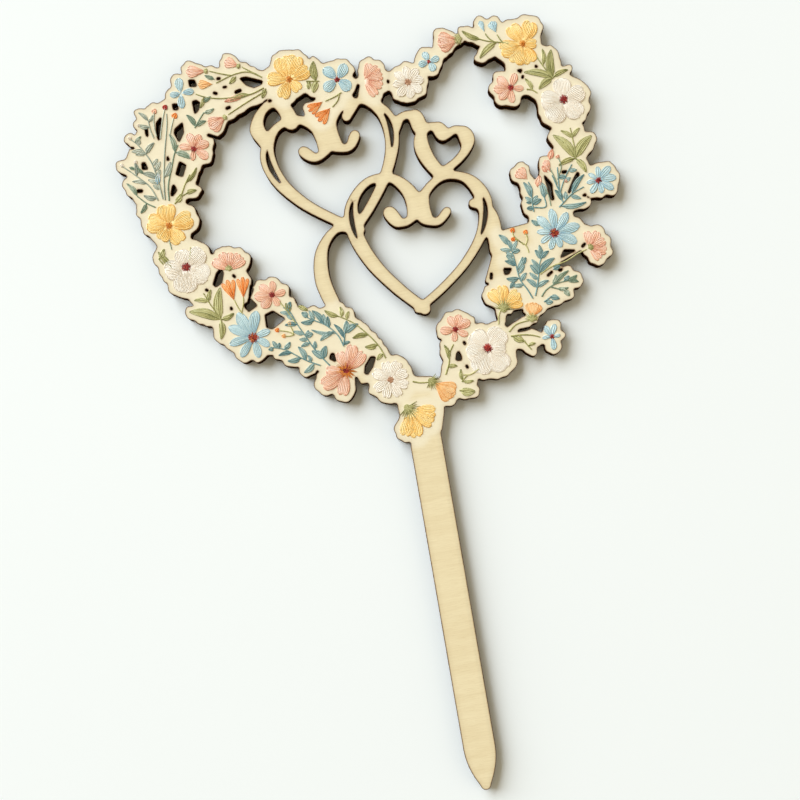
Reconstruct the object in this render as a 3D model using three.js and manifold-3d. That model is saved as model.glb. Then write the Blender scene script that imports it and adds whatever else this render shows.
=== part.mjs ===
// A heart-shaped cake topper, laser-cut from thin three-ply wood and printed
// with a wreath of raised flowers, on one flat stake that goes into the cake.
//
// Frame: +X to the object's right, +Z up along the stake, and the printed
// front faces -Y. The origin is at the middle of the stake, where it meets
// the top of the cake.
//
// Every motif is drawn once, in shares of the wreath's width, and used three
// times: as it is for its raised ink, a little grown to hold later inks off
// it, and grown by the laser's margin for the wood that carries it. A motif
// with no name is too slight for an ink of its own, and only shapes the wood.

import * as THREE from 'three';
import { mergeVertices } from 'three/addons/utils/BufferGeometryUtils.js';
import Module from 'manifold-3d';

const wasm = await Module();
wasm.setup();

// Driving dimensions, in millimetres
const WREATH_WIDTH = 130;
const WREATH_HEIGHT_ABOVE_CAKE = 81;
const STAKE_WIDTH = 8.5;
const STAKE_DEPTH_IN_CAKE = 65;
const STAKE_TIP_LENGTH = 11.5;
const STAKE_TIP_RADIUS = 1.4;
const VENEER_THICKNESS = 0.75;
const CORE_THICKNESS = 1.5;
const INK_THICKNESS = 0.25;
const INK_GAP = 0.3;
const LASER_MARGIN = 1.3;
const SMALLEST_CUT_OUT = 1.6;
const WOOD_TOLERANCE = 0.15;
const INK_TOLERANCE = 0.15;
const STEM_WIDTH = 0.7;
const BERRY_RADIUS = 0.95;
const BLOSSOM_MIDDLE_RADIUS = 0.95;
const THICK_STROKE = 4.2;
const THIN_STROKE = 2.2;
const SLIT_WIDTH = 0.9;
const SMALLEST_SLIT_HEART = 10;

// Where the stake ends inside the neck, and which stretch of a heart is slit,
// how wide the slit's ends are, the pen's slant in degrees and its contrast
const stakeTopShare = -0.37;
const slitRunShare = [0.58, 0.72];
const slitEndShare = 0.12;
const PEN_SLANT = 100;
const PEN_CONTRAST = 4;

// How finely round stretches are cut up
const ROUND_STEPS = 10;
const END_STEPS = 3;
const STROKE_STEPS = 5;
const SLIT_STEPS = 6;

const UPRIGHT = new THREE.Matrix4().set(1, 0, 0, 0, 0, 0, -1, 0, 0, 1, 0, 0, 0, 0, 0, 1);

// Finishes, one function for each kind of material
function woodFinish(colour) {
  return new THREE.MeshStandardMaterial({ color: colour, roughness: 0.78, metalness: 0 });
}

function inkFinish(colour) {
  return new THREE.MeshStandardMaterial({ color: colour, roughness: 0.55, metalness: 0 });
}

const finishes = {
  faceWood: woodFinish(0xefdcae),
  coreWood: woodFinish(0x5a4024),
  yellow: inkFinish(0xf5cf83),
  coral: inkFinish(0xefb6a0),
  blue: inkFinish(0xaecfdc),
  white: inkFinish(0xefe4da),
  peach: inkFinish(0xf6bd8a),
  orange: inkFinish(0xe38a4b),
  teal: inkFinish(0x6f9a97),
  sage: inkFinish(0x93a78c),
  olive: inkFinish(0xa5a562),
};

// Blossoms: the middle, then each petal's direction in degrees and its reach.
// Breadth is a share of the reach.
const blossomShares = [
  { name: 'blossom_yellow_left', ink: 'yellow', middle: [-0.437, 0.110], breadth: 0.86,
    petals: [[88, 0.047], [158, 0.048], [230, 0.036], [298, 0.045], [12, 0.054]] },
  { name: 'blossom_coral_left', ink: 'coral', middle: [-0.361, 0.254], breadth: 0.62,
    petals: [[100, 0.034], [58, 0.032], [14, 0.033], [318, 0.034], [252, 0.023], [158, 0.030]] },
  { name: 'blossom_blue_cross', ink: 'blue', middle: [-0.367, 0.370], breadth: 0.50,
    petals: [[90, 0.031], [180, 0.023], [0, 0.026], [264, 0.031]] },
  { name: 'blossom_yellow_top', ink: 'yellow', middle: [-0.147, 0.360], breadth: 0.72,
    petals: [[100, 0.052], [62, 0.054], [18, 0.048], [172, 0.048], [240, 0.044], [302, 0.033]] },
  { name: 'blossom_blue_top', ink: 'blue', middle: [-0.052, 0.343], breadth: 0.80,
    petals: [[52, 0.036], [130, 0.036], [210, 0.034], [314, 0.034]] },
  { name: 'blossom_white_daisy', ink: 'white', middle: [0.088, 0.313], breadth: 0.66,
    petals: [[0, 0.033], [45, 0.034], [90, 0.033], [135, 0.034], [180, 0.031], [225, 0.034],
      [270, 0.033], [315, 0.034]] },
  { name: 'blossom_blue_small', ink: 'blue', middle: [0.137, 0.347], breadth: 0.80,
    petals: [[112, 0.022], [14, 0.022], [190, 0.022], [290, 0.022]] },
  { name: 'blossom_yellow_right', ink: 'yellow', middle: [0.330, 0.350], breadth: 0.76,
    petals: [[116, 0.048], [60, 0.052], [352, 0.030], [284, 0.046], [238, 0.047], [187, 0.051]] },
  { name: 'blossom_coral_right', ink: 'coral', middle: [0.291, 0.267], breadth: 0.62,
    petals: [[132, 0.034], [176, 0.035], [216, 0.033], [266, 0.031], [348, 0.026], [62, 0.030]] },
  { name: 'blossom_white_right', ink: 'white', middle: [0.392, 0.225], breadth: 0.98,
    petals: [[88, 0.045], [16, 0.047], [308, 0.050], [230, 0.052], [172, 0.047]] },
  { name: 'blossom_blue_edge', ink: 'blue', middle: [0.433, 0.052], breadth: 0.48,
    petals: [[0, 0.037], [40, 0.037], [84, 0.028], [136, 0.024], [182, 0.024], [230, 0.030],
      [276, 0.027], [320, 0.036]] },
  { name: 'blossom_blue_right', ink: 'blue', middle: [0.327, -0.038], breadth: 0.50,
    petals: [[126, 0.048], [88, 0.050], [48, 0.050], [8, 0.054], [328, 0.050], [286, 0.032],
      [248, 0.034], [206, 0.033], [166, 0.035]] },
  { name: 'blossom_blue_low', ink: 'blue', middle: [0.287, -0.243], breadth: 0.50,
    petals: [[180, 0.020], [2, 0.017], [268, 0.027], [114, 0.026], [68, 0.026]] },
  { name: 'blossom_white_low', ink: 'white', middle: [0.155, -0.244], breadth: 1.0,
    petals: [[40, 0.050], [124, 0.046], [190, 0.046], [242, 0.056], [304, 0.058], [350, 0.038]] },
  { name: 'blossom_coral_low', ink: 'coral', middle: [0.097, -0.195], breadth: 0.66,
    petals: [[108, 0.029], [64, 0.031], [20, 0.034], [176, 0.031], [254, 0.025], [326, 0.028]] },
  { name: 'blossom_cosmos_low', ink: 'white', middle: [-0.049, -0.273], breadth: 0.66,
    petals: [[98, 0.041], [56, 0.043], [14, 0.040], [332, 0.040], [290, 0.041], [246, 0.041],
      [202, 0.041], [144, 0.042]] },
  { name: 'blossom_coral_cosmos', ink: 'coral', middle: [-0.135, -0.240], breadth: 0.56,
    petals: [[36, 0.056], [66, 0.059], [100, 0.044], [168, 0.044], [202, 0.062], [252, 0.054]] },
  { name: 'blossom_blue_left', ink: 'blue', middle: [-0.308, -0.142], breadth: 0.52,
    petals: [[112, 0.060], [74, 0.055], [14, 0.037], [146, 0.055], [186, 0.050], [228, 0.046],
      [276, 0.042], [324, 0.037]] },
  { name: 'blossom_white_left', ink: 'white', middle: [-0.417, 0.022], breadth: 1.0,
    petals: [[100, 0.038], [180, 0.046], [254, 0.054], [326, 0.052], [38, 0.050]] },
  { name: 'blossom_coral_side', ink: 'coral', middle: [-0.256, -0.063], breadth: 0.66,
    petals: [[133, 0.032], [80, 0.028], [6, 0.028], [292, 0.026], [222, 0.033], [176, 0.036]] },
  { name: 'fan_pink_left', ink: 'coral', middle: [-0.333, 0.002], breadth: 0.48,
    petals: [[140, 0.041], [106, 0.041], [78, 0.038], [50, 0.041], [24, 0.041]] },
  { name: 'fan_pink_top', ink: 'coral', middle: [0.003, 0.333], breadth: 0.50,
    petals: [[66, 0.037], [32, 0.041], [2, 0.040], [330, 0.041], [296, 0.043]] },
  { name: 'fan_pink_edge', ink: 'coral', middle: [0.392, -0.079], breadth: 0.54,
    petals: [[92, 0.036], [54, 0.040], [16, 0.038], [338, 0.038], [302, 0.034]] },
  { name: 'cup_yellow_right', ink: 'yellow', middle: [0.200, -0.165], breadth: 0.62,
    petals: [[122, 0.044], [84, 0.045], [34, 0.046], [4, 0.044]] },
  { name: 'cup_yellow_neck', ink: 'yellow', middle: [-0.022, -0.345], breadth: 0.60,
    petals: [[248, 0.052], [276, 0.056], [324, 0.055], [352, 0.056]] },
];

// Closed buds and small bells: where the stalk ends, the direction in degrees,
// the length and the breadth.
const budShares = [
  { name: 'bud_pink_top_left', ink: 'coral',
    base: [-0.308, 0.405], turn: 172, length: 0.044, breadth: 0.024 },
  { name: 'bud_pink_top', ink: 'coral',
    base: [-0.242, 0.403], turn: 150, length: 0.033, breadth: 0.022 },
  { name: 'bud_peach_top', ink: 'peach',
    base: [-0.300, 0.377], turn: 172, length: 0.032, breadth: 0.018 },
  { name: 'bell_pink_left', ink: 'coral',
    base: [-0.286, 0.308], turn: 204, length: 0.042, breadth: 0.034 },
  { name: 'bell_pink_top', ink: 'coral',
    base: [0.206, 0.381], turn: 181, length: 0.047, breadth: 0.042 },
  { name: 'bud_orange_upper', ink: 'orange',
    base: [-0.088, 0.304], turn: 204, length: 0.036, breadth: 0.014 },
  { name: 'bud_orange_lower', ink: 'orange',
    base: [-0.075, 0.289], turn: 218, length: 0.038, breadth: 0.018 },
  { name: 'bud_orange_left', ink: 'orange',
    base: [-0.333, -0.062], turn: 100, length: 0.047, breadth: 0.018 },
  { name: 'bud_orange_side', ink: 'orange',
    base: [-0.314, -0.060], turn: 83, length: 0.045, breadth: 0.016 },
  { base: [0.258, 0.386], turn: 104, length: 0.026, breadth: 0.010 },
  { name: 'bud_blue_wide', ink: 'blue',
    base: [0.281, 0.381], turn: 106, length: 0.026, breadth: 0.018 },
  { name: 'bud_pink_right', ink: 'coral',
    base: [0.293, 0.078], turn: 128, length: 0.030, breadth: 0.026 },
  { base: [0.341, 0.084], turn: 106, length: 0.029, breadth: 0.014 },
  { name: 'bud_peach_low', ink: 'peach',
    base: [0.253, -0.200], turn: 72, length: 0.034, breadth: 0.036 },
  { name: 'bell_peach_neck', ink: 'peach',
    base: [0.034, -0.292], turn: 318, length: 0.054, breadth: 0.044 },
];

// Berries: one small round each
const berryShares = [
  { middle: [-0.427, 0.343] },
  { middle: [-0.404, 0.347] },
  { middle: [-0.388, 0.327] },
];

// Sprigs: one or more joined stalks, each with its points from foot to tip and
// its leaves. A leaf is the share along the stalk where it springs, its tip and
// its breadth.
const sprigShares = [
  { stalks: [
    { points: [[-0.436, 0.163], [-0.431, 0.205], [-0.420, 0.258], [-0.407, 0.308], [-0.403, 0.334]],
      leaves: [[0.26, -0.412, 0.237, 0.013]] },
  ] },
  { name: 'sprig_left_inner', ink: 'sage', stalks: [
    { points: [[-0.428, 0.160], [-0.424, 0.192], [-0.411, 0.226], [-0.402, 0.250], [-0.391, 0.268]],
      leaves: [[0.80, -0.405, 0.293, 0.010], [0.80, -0.369, 0.236, 0.012]] },
  ] },
  { stalks: [
    { points: [[-0.418, 0.152], [-0.402, 0.164], [-0.392, 0.168]],
      leaves: [[0.10, -0.402, 0.169, 0.011], [0.95, -0.370, 0.172, 0.009]] },
    { points: [[-0.404, 0.163], [-0.392, 0.185], [-0.378, 0.205]],
      leaves: [[0.60, -0.362, 0.217, 0.007]] },
  ] },
  { name: 'sprig_left_mid', ink: 'sage', stalks: [
    { points: [[-0.440, 0.166], [-0.443, 0.205], [-0.449, 0.238], [-0.457, 0.258], [-0.471, 0.282],
      [-0.484, 0.296]],
    leaves: [[0.62, -0.479, 0.263, 0.008], [0.62, -0.438, 0.281, 0.010], [0.22, -0.472, 0.224, 0.011]] },
  ] },
  { name: 'sprig_left_outer', ink: 'sage', stalks: [
    { points: [[-0.450, 0.165], [-0.462, 0.195], [-0.488, 0.224], [-0.511, 0.246]],
      leaves: [[0.40, -0.495, 0.211, 0.008], [0.06, -0.477, 0.179, 0.010], [0.62, -0.483, 0.248, 0.009]] },
  ] },
  { stalks: [
    { points: [[-0.458, 0.152], [-0.474, 0.163], [-0.490, 0.180]],
      leaves: [[0.98, -0.507, 0.209, 0.009], [0.50, -0.489, 0.145, 0.008]] },
  ] },
  { stalks: [
    { points: [[-0.437, 0.290], [-0.441, 0.308], [-0.442, 0.326]],
      leaves: [[0.98, -0.459, 0.346, 0.007], [0.62, -0.464, 0.322, 0.009], [0.90, -0.431, 0.336, 0.006]] },
  ] },
  { name: 'stalks_top_left', ink: 'olive', stalks: [
    { points: [[-0.201, 0.374], [-0.226, 0.389], [-0.256, 0.389], [-0.294, 0.378]], leaves: [] },
    { points: [[-0.262, 0.388], [-0.284, 0.396], [-0.303, 0.404]], leaves: [] },
    { points: [[-0.210, 0.381], [-0.224, 0.391], [-0.237, 0.401]], leaves: [] },
  ] },
  { stalks: [
    { points: [[-0.201, 0.352], [-0.235, 0.343], [-0.285, 0.345], [-0.318, 0.353], [-0.338, 0.363]],
      leaves: [[0.22, -0.272, 0.338, 0.009], [0.80, -0.335, 0.334, 0.007]] },
  ] },
  { stalks: [
    { points: [[-0.199, 0.345], [-0.240, 0.329], [-0.281, 0.311]], leaves: [] },
  ] },
  { stalks: [
    { points: [[-0.352, 0.296], [-0.337, 0.314], [-0.328, 0.324]],
      leaves: [[0.10, -0.364, 0.325, 0.010], [0.10, -0.327, 0.306, 0.009], [0.90, -0.307, 0.328, 0.008]] },
  ] },
  { name: 'leaves_yellow_top', ink: 'olive', stalks: [
    { points: [[-0.114, 0.350], [-0.100, 0.348], [-0.088, 0.346]],
      leaves: [[0.30, -0.113, 0.334, 0.008], [0.70, -0.093, 0.388, 0.016], [0.80, -0.104, 0.325, 0.014]] },
  ] },
  { stalks: [
    { points: [[-0.048, 0.316], [-0.062, 0.310], [-0.083, 0.304]], leaves: [] },
    { points: [[-0.052, 0.315], [-0.058, 0.301], [-0.071, 0.290]], leaves: [] },
  ] },
  { name: 'sprig_blue_buds', ink: 'olive', stalks: [
    { points: [[0.302, 0.356], [0.280, 0.362], [0.252, 0.371], [0.215, 0.392]],
      leaves: [[0.34, 0.239, 0.336, 0.012], [0.70, 0.213, 0.397, 0.010]] },
    { points: [[0.273, 0.364], [0.264, 0.373], [0.259, 0.383]], leaves: [] },
    { points: [[0.291, 0.359], [0.286, 0.367], [0.282, 0.377]], leaves: [] },
  ] },
  { name: 'leaves_top_right', ink: 'olive', stalks: [
    { points: [[0.379, 0.271], [0.366, 0.292], [0.352, 0.322]],
      leaves: [[0.04, 0.322, 0.293, 0.015], [0.04, 0.384, 0.329, 0.017], [0.04, 0.346, 0.254, 0.014],
        [0.04, 0.411, 0.283, 0.009], [0.62, 0.367, 0.333, 0.008]] },
  ] },
  { stalks: [
    { points: [[0.322, 0.258], [0.332, 0.255], [0.342, 0.247]], leaves: [[0.60, 0.322, 0.280, 0.008]] },
  ] },
  { name: 'leaves_right', ink: 'olive', stalks: [
    { points: [[0.395, 0.102], [0.397, 0.124], [0.396, 0.146], [0.395, 0.166]],
      leaves: [[0.04, 0.358, 0.158, 0.019], [0.04, 0.435, 0.144, 0.020], [0.04, 0.359, 0.095, 0.010],
        [0.04, 0.412, 0.072, 0.012], [0.66, 0.375, 0.164, 0.008], [0.66, 0.414, 0.163, 0.008]] },
  ] },
  { name: 'sprig_right_upper', ink: 'teal', stalks: [
    { points: [[0.346, 0.012], [0.354, 0.018], [0.376, 0.034], [0.402, 0.044]],
      leaves: [[0.16, 0.402, 0.013, 0.010], [0.66, 0.407, 0.069, 0.010]] },
    { points: [[0.356, 0.019], [0.353, 0.038], [0.366, 0.066], [0.386, 0.093]],
      leaves: [[0.10, 0.343, 0.048, 0.010]] },
    { points: [[0.354, 0.036], [0.348, 0.058], [0.343, 0.078]], leaves: [] },
    { points: [[0.352, 0.042], [0.354, 0.068], [0.356, 0.092]], leaves: [[0.55, 0.371, 0.070, 0.009]] },
  ] },
  { name: 'sprig_right_bud', ink: 'teal', stalks: [
    { points: [[0.294, 0.012], [0.294, 0.035], [0.298, 0.057], [0.293, 0.073]],
      leaves: [[0.40, 0.283, 0.074, 0.011], [0.22, 0.313, 0.034, 0.012], [0.10, 0.281, 0.021, 0.009],
        [0.30, 0.282, 0.033, 0.006]] },
    { points: [[0.296, 0.020], [0.320, 0.018], [0.318, 0.045]], leaves: [[0.80, 0.316, 0.070, 0.014]] },
  ] },
  { name: 'sprig_right_teal', ink: 'teal', stalks: [
    { points: [[0.262, -0.160], [0.254, -0.140], [0.243, -0.118], [0.240, -0.090], [0.237, -0.062],
      [0.231, -0.044]],
    leaves: [[0.96, 0.216, -0.022, 0.011], [0.42, 0.216, -0.112, 0.010], [0.60, 0.219, -0.076, 0.009],
      [0.80, 0.253, -0.060, 0.010], [0.54, 0.256, -0.074, 0.009], [0.36, 0.258, -0.107, 0.009],
      [0.86, 0.233, -0.036, 0.007]] },
  ] },
  { name: 'sprig_right_deep', ink: 'teal', stalks: [
    { points: [[0.268, -0.156], [0.275, -0.138], [0.282, -0.115], [0.288, -0.092], [0.297, -0.076]],
      leaves: [[0.50, 0.268, -0.093, 0.013], [0.52, 0.319, -0.087, 0.013], [0.22, 0.256, -0.120, 0.010],
        [0.22, 0.300, -0.130, 0.009], [0.84, 0.283, -0.065, 0.010], [0.84, 0.310, -0.071, 0.009]] },
  ] },
  { name: 'sprig_right_fan', ink: 'sage', stalks: [
    { points: [[0.280, -0.160], [0.293, -0.147], [0.314, -0.139], [0.340, -0.137]],
      leaves: [[0.56, 0.316, -0.121, 0.009], [0.62, 0.343, -0.117, 0.009], [0.94, 0.358, -0.129, 0.009],
        [0.94, 0.359, -0.143, 0.009]] },
    { points: [[0.300, -0.143], [0.313, -0.149], [0.328, -0.156]],
      leaves: [[0.50, 0.337, -0.151, 0.007], [0.90, 0.336, -0.168, 0.010]] },
  ] },
  { stalks: [
    { points: [[0.283, -0.171], [0.290, -0.168], [0.300, -0.162]],
      leaves: [[0.20, 0.301, -0.174, 0.010], [0.80, 0.315, -0.170, 0.011]] },
  ] },
  { stalks: [
    { points: [[0.205, -0.228], [0.228, -0.229], [0.250, -0.234], [0.263, -0.240]],
      leaves: [[0.05, 0.232, -0.243, 0.010]] },
    { points: [[0.222, -0.229], [0.232, -0.246], [0.242, -0.262]], leaves: [[0.70, 0.252, -0.250, 0.006]] },
  ] },
  { stalks: [
    { points: [[0.203, -0.219], [0.220, -0.206], [0.247, -0.203]], leaves: [] },
  ] },
  { stalks: [
    { points: [[0.062, -0.282], [0.072, -0.262], [0.078, -0.240], [0.088, -0.224]],
      leaves: [[0.45, 0.069, -0.222, 0.008], [0.25, 0.088, -0.268, 0.008]] },
  ] },
  { name: 'leaf_neck', ink: 'olive', stalks: [
    { points: [[0.084, -0.318], [0.090, -0.320], [0.096, -0.322]], leaves: [[0.10, 0.115, -0.325, 0.017]] },
  ] },
  { stalks: [
    { points: [[0.092, -0.302], [0.098, -0.296], [0.106, -0.290]],
      leaves: [[0.10, 0.116, -0.303, 0.006], [0.20, 0.094, -0.276, 0.007]] },
  ] },
  { stalks: [
    { points: [[-0.006, -0.284], [0.008, -0.289], [0.026, -0.291]], leaves: [] },
  ] },
  { name: 'sprig_low_olive', ink: 'olive', stalks: [
    { points: [[-0.052, -0.228], [-0.060, -0.204], [-0.078, -0.176], [-0.105, -0.146], [-0.132, -0.128]],
      leaves: [[0.12, -0.070, -0.229, 0.008], [0.30, -0.089, -0.199, 0.011], [0.50, -0.111, -0.177, 0.010],
        [0.98, -0.157, -0.112, 0.010], [0.92, -0.125, -0.110, 0.008], [0.84, -0.109, -0.122, 0.007]] },
  ] },
  { name: 'sprig_low_teal', ink: 'teal', stalks: [
    { points: [[-0.131, -0.190], [-0.139, -0.166], [-0.158, -0.143], [-0.180, -0.129], [-0.194, -0.120]],
      leaves: [[0.97, -0.203, -0.108, 0.011], [0.44, -0.153, -0.125, 0.010], [0.56, -0.182, -0.108, 0.011],
        [0.76, -0.208, -0.128, 0.010], [0.34, -0.176, -0.171, 0.010], [0.30, -0.190, -0.146, 0.007]] },
    { points: [[-0.131, -0.188], [-0.126, -0.172], [-0.123, -0.158]],
      leaves: [[0.80, -0.117, -0.140, 0.012], [0.70, -0.095, -0.150, 0.012], [0.40, -0.143, -0.143, 0.008],
        [0.05, -0.117, -0.183, 0.006]] },
  ] },
  { name: 'sprig_low_left', ink: 'teal', stalks: [
    { points: [[-0.165, -0.224], [-0.178, -0.205], [-0.192, -0.182], [-0.203, -0.158], [-0.216, -0.130],
      [-0.226, -0.103], [-0.238, -0.092]],
    leaves: [[0.14, -0.196, -0.188, 0.014], [0.14, -0.166, -0.183, 0.014], [0.40, -0.216, -0.176, 0.008],
      [0.50, -0.188, -0.154, 0.012], [0.50, -0.196, -0.146, 0.008], [0.86, -0.222, -0.083, 0.010],
      [0.66, -0.241, -0.128, 0.009]] },
  ] },
  { name: 'sprig_low_edge', ink: 'teal', stalks: [
    { points: [[-0.184, -0.220], [-0.206, -0.208], [-0.226, -0.194], [-0.248, -0.177], [-0.272, -0.168]],
      leaves: [[0.78, -0.236, -0.163, 0.009], [0.86, -0.258, -0.161, 0.008], [0.62, -0.264, -0.186, 0.008],
        [0.42, -0.248, -0.200, 0.010], [0.30, -0.222, -0.175, 0.011], [0.14, -0.219, -0.229, 0.011],
        [0.20, -0.205, -0.196, 0.007], [0.98, -0.282, -0.171, 0.008]] },
  ] },
  { name: 'leaves_left_low', ink: 'olive', stalks: [
    { points: [[-0.366, -0.096], [-0.374, -0.078], [-0.384, -0.056], [-0.392, -0.036]],
      leaves: [[0.04, -0.427, -0.068, 0.020], [0.04, -0.357, -0.030, 0.019], [0.04, -0.338, -0.086, 0.010],
        [0.04, -0.373, -0.134, 0.013], [0.68, -0.413, -0.047, 0.009], [0.68, -0.376, -0.031, 0.008]] },
  ] },
  { stalks: [
    { points: [[-0.462, 0.036], [-0.466, 0.042], [-0.469, 0.048]], leaves: [[0.90, -0.455, 0.066, 0.010]] },
  ] },
];

// Bare wood between the motifs, as corners
const webShares = [
  [[-0.345, 0.380], [-0.305, 0.400], [-0.250, 0.400], [-0.200, 0.375], [-0.190, 0.330], [-0.285, 0.300],
    [-0.340, 0.290], [-0.395, 0.290], [-0.400, 0.350]],
  [[-0.395, 0.350], [-0.455, 0.345], [-0.470, 0.310], [-0.485, 0.285], [-0.505, 0.250], [-0.488, 0.215],
    [-0.500, 0.190], [-0.480, 0.150], [-0.430, 0.130], [-0.400, 0.155], [-0.370, 0.185], [-0.352, 0.220],
    [-0.350, 0.290]],
  [[-0.455, 0.085], [-0.395, 0.075], [-0.370, 0.030], [-0.460, 0.030]],
  [[-0.400, -0.020], [-0.350, 0.010], [-0.302, 0.000], [-0.300, -0.040], [-0.316, -0.075], [-0.300, -0.100],
    [-0.350, -0.110], [-0.385, -0.110], [-0.410, -0.070]],
  [[-0.285, -0.085], [-0.228, -0.080], [-0.212, -0.110], [-0.165, -0.105], [-0.115, -0.108],
    [-0.098, -0.140], [-0.060, -0.185], [-0.045, -0.230], [-0.100, -0.262], [-0.165, -0.235],
    [-0.210, -0.222], [-0.250, -0.205], [-0.290, -0.170]],
  [[-0.120, -0.240], [-0.060, -0.225], [-0.060, -0.270], [-0.110, -0.272]],
  [[-0.045, -0.310], [-0.005, -0.280], [0.020, -0.288], [0.052, -0.284], [0.070, -0.262], [0.088, -0.215],
    [0.125, -0.215], [0.120, -0.300], [0.050, -0.345], [0.036, -0.392], [-0.034, -0.392], [-0.045, -0.340]],
  [[0.172, -0.110], [0.200, -0.050], [0.232, -0.012], [0.280, -0.008], [0.285, 0.055], [0.312, 0.068],
    [0.322, 0.105], [0.352, 0.130], [0.362, 0.155], [0.420, 0.150], [0.410, 0.100], [0.412, 0.035],
    [0.368, 0.004], [0.366, -0.025], [0.385, -0.060], [0.385, -0.078], [0.325, -0.100], [0.345, -0.120],
    [0.345, -0.150], [0.320, -0.172], [0.285, -0.180], [0.240, -0.150], [0.200, -0.140]],
  [[0.178, -0.130], [0.215, -0.150], [0.205, -0.178], [0.196, -0.215], [0.180, -0.222], [0.184, -0.190]],
  [[0.185, -0.215], [0.260, -0.212], [0.280, -0.190], [0.240, -0.192], [0.200, -0.212]],
  [[0.190, -0.222], [0.270, -0.232], [0.275, -0.250], [0.240, -0.265], [0.195, -0.248]],
  [[0.345, 0.330], [0.372, 0.330], [0.390, 0.290], [0.405, 0.270], [0.350, 0.248], [0.305, 0.250],
    [0.300, 0.310]],
  [[0.215, 0.385], [0.262, 0.392], [0.290, 0.382], [0.300, 0.345], [0.262, 0.350], [0.222, 0.378]],
  [[0.370, 0.185], [0.415, 0.185], [0.415, 0.140], [0.370, 0.140]],
  [[-0.120, 0.335], [-0.020, 0.335], [0.010, 0.350], [0.000, 0.300], [-0.045, 0.290], [-0.080, 0.305],
    [-0.100, 0.315]],
  [[0.035, 0.335], [0.060, 0.330], [0.060, 0.305], [0.035, 0.312]],
  [[0.115, 0.350], [0.125, 0.325], [0.105, 0.320]],
  [[0.150, 0.370], [0.170, 0.372], [0.165, 0.350], [0.150, 0.345]],
  [[0.285, 0.310], [0.335, 0.310], [0.335, 0.275], [0.295, 0.285]],
  [[-0.200, 0.385], [-0.180, 0.390], [-0.180, 0.330], [-0.200, 0.330]],
];

// Cut-outs right through the wood, as corners
const cutShares = [
  [[-0.348, 0.394], [-0.336, 0.392], [-0.333, 0.378], [-0.348, 0.380]],
  [[-0.246, 0.380], [-0.232, 0.380], [-0.200, 0.366], [-0.204, 0.360], [-0.220, 0.356], [-0.234, 0.363]],
  [[-0.389, 0.352], [-0.378, 0.350], [-0.378, 0.338], [-0.388, 0.339]],
  [[-0.348, 0.350], [-0.339, 0.351], [-0.332, 0.343], [-0.338, 0.331], [-0.347, 0.323]],
  [[-0.374, 0.312], [-0.392, 0.301], [-0.395, 0.293], [-0.388, 0.273], [-0.376, 0.290]],
  [[-0.414, 0.331], [-0.427, 0.320], [-0.430, 0.300], [-0.429, 0.283], [-0.425, 0.286], [-0.421, 0.305]],
  [[-0.446, 0.315], [-0.451, 0.314], [-0.452, 0.303], [-0.450, 0.293], [-0.447, 0.297]],
  [[-0.470, 0.245], [-0.463, 0.245], [-0.459, 0.230], [-0.471, 0.231]],
  [[-0.416, 0.253], [-0.413, 0.241], [-0.419, 0.240]],
  [[-0.394, 0.235], [-0.382, 0.225], [-0.393, 0.203], [-0.406, 0.210]],
  [[-0.413, 0.192], [-0.409, 0.178], [-0.420, 0.167], [-0.423, 0.171], [-0.417, 0.188]],
  [[-0.348, 0.009], [-0.345, -0.003], [-0.352, -0.022], [-0.365, -0.028], [-0.370, -0.022], [-0.359, 0.000]],
  [[-0.343, -0.069], [-0.338, -0.079], [-0.344, -0.079]],
  [[-0.277, -0.100], [-0.260, -0.095], [-0.238, -0.115], [-0.267, -0.131], [-0.278, -0.126]],
  [[-0.295, -0.032], [-0.291, -0.046], [-0.301, -0.062], [-0.289, -0.079], [-0.309, -0.089],
    [-0.311, -0.078], [-0.303, -0.060]],
  [[-0.159, -0.200], [-0.153, -0.200], [-0.151, -0.219], [-0.164, -0.210]],
  [[-0.081, -0.220], [-0.071, -0.222], [-0.080, -0.241], [-0.093, -0.255], [-0.099, -0.251],
    [-0.095, -0.236]],
  [[0.096, -0.238], [0.100, -0.250], [0.099, -0.259], [0.087, -0.257], [0.091, -0.244]],
  [[0.220, -0.178], [0.239, -0.178], [0.235, -0.193], [0.211, -0.203], [0.198, -0.210], [0.205, -0.195]],
  [[0.217, -0.222], [0.225, -0.217], [0.262, -0.216], [0.292, -0.198], [0.275, -0.219], [0.268, -0.231],
    [0.258, -0.224], [0.250, -0.219], [0.238, -0.222]],
  [[0.214, -0.090], [0.231, -0.093], [0.222, -0.104], [0.214, -0.103]],
  [[0.330, -0.090], [0.341, -0.074], [0.367, -0.079]],
  [[0.320, -0.112], [0.334, -0.110], [0.327, -0.117]],
  [[0.326, 0.084], [0.340, 0.061], [0.338, 0.045], [0.339, 0.030], [0.335, 0.027], [0.331, 0.035],
    [0.330, 0.055]],
  [[0.363, 0.083], [0.375, 0.083], [0.373, 0.078], [0.364, 0.078]],
  [[0.395, 0.077], [0.398, 0.071], [0.383, 0.049], [0.368, 0.033], [0.370, 0.041], [0.384, 0.063]],
  [[0.404, 0.031], [0.404, 0.024], [0.394, 0.027]],
  [[0.308, 0.300], [0.321, 0.300], [0.316, 0.292]],
  [[0.348, 0.305], [0.353, 0.298], [0.346, 0.298]],
  [[-0.013, 0.327], [-0.009, 0.325], [-0.018, 0.300], [-0.023, 0.300], [-0.027, 0.307], [-0.020, 0.314]],
];

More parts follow.
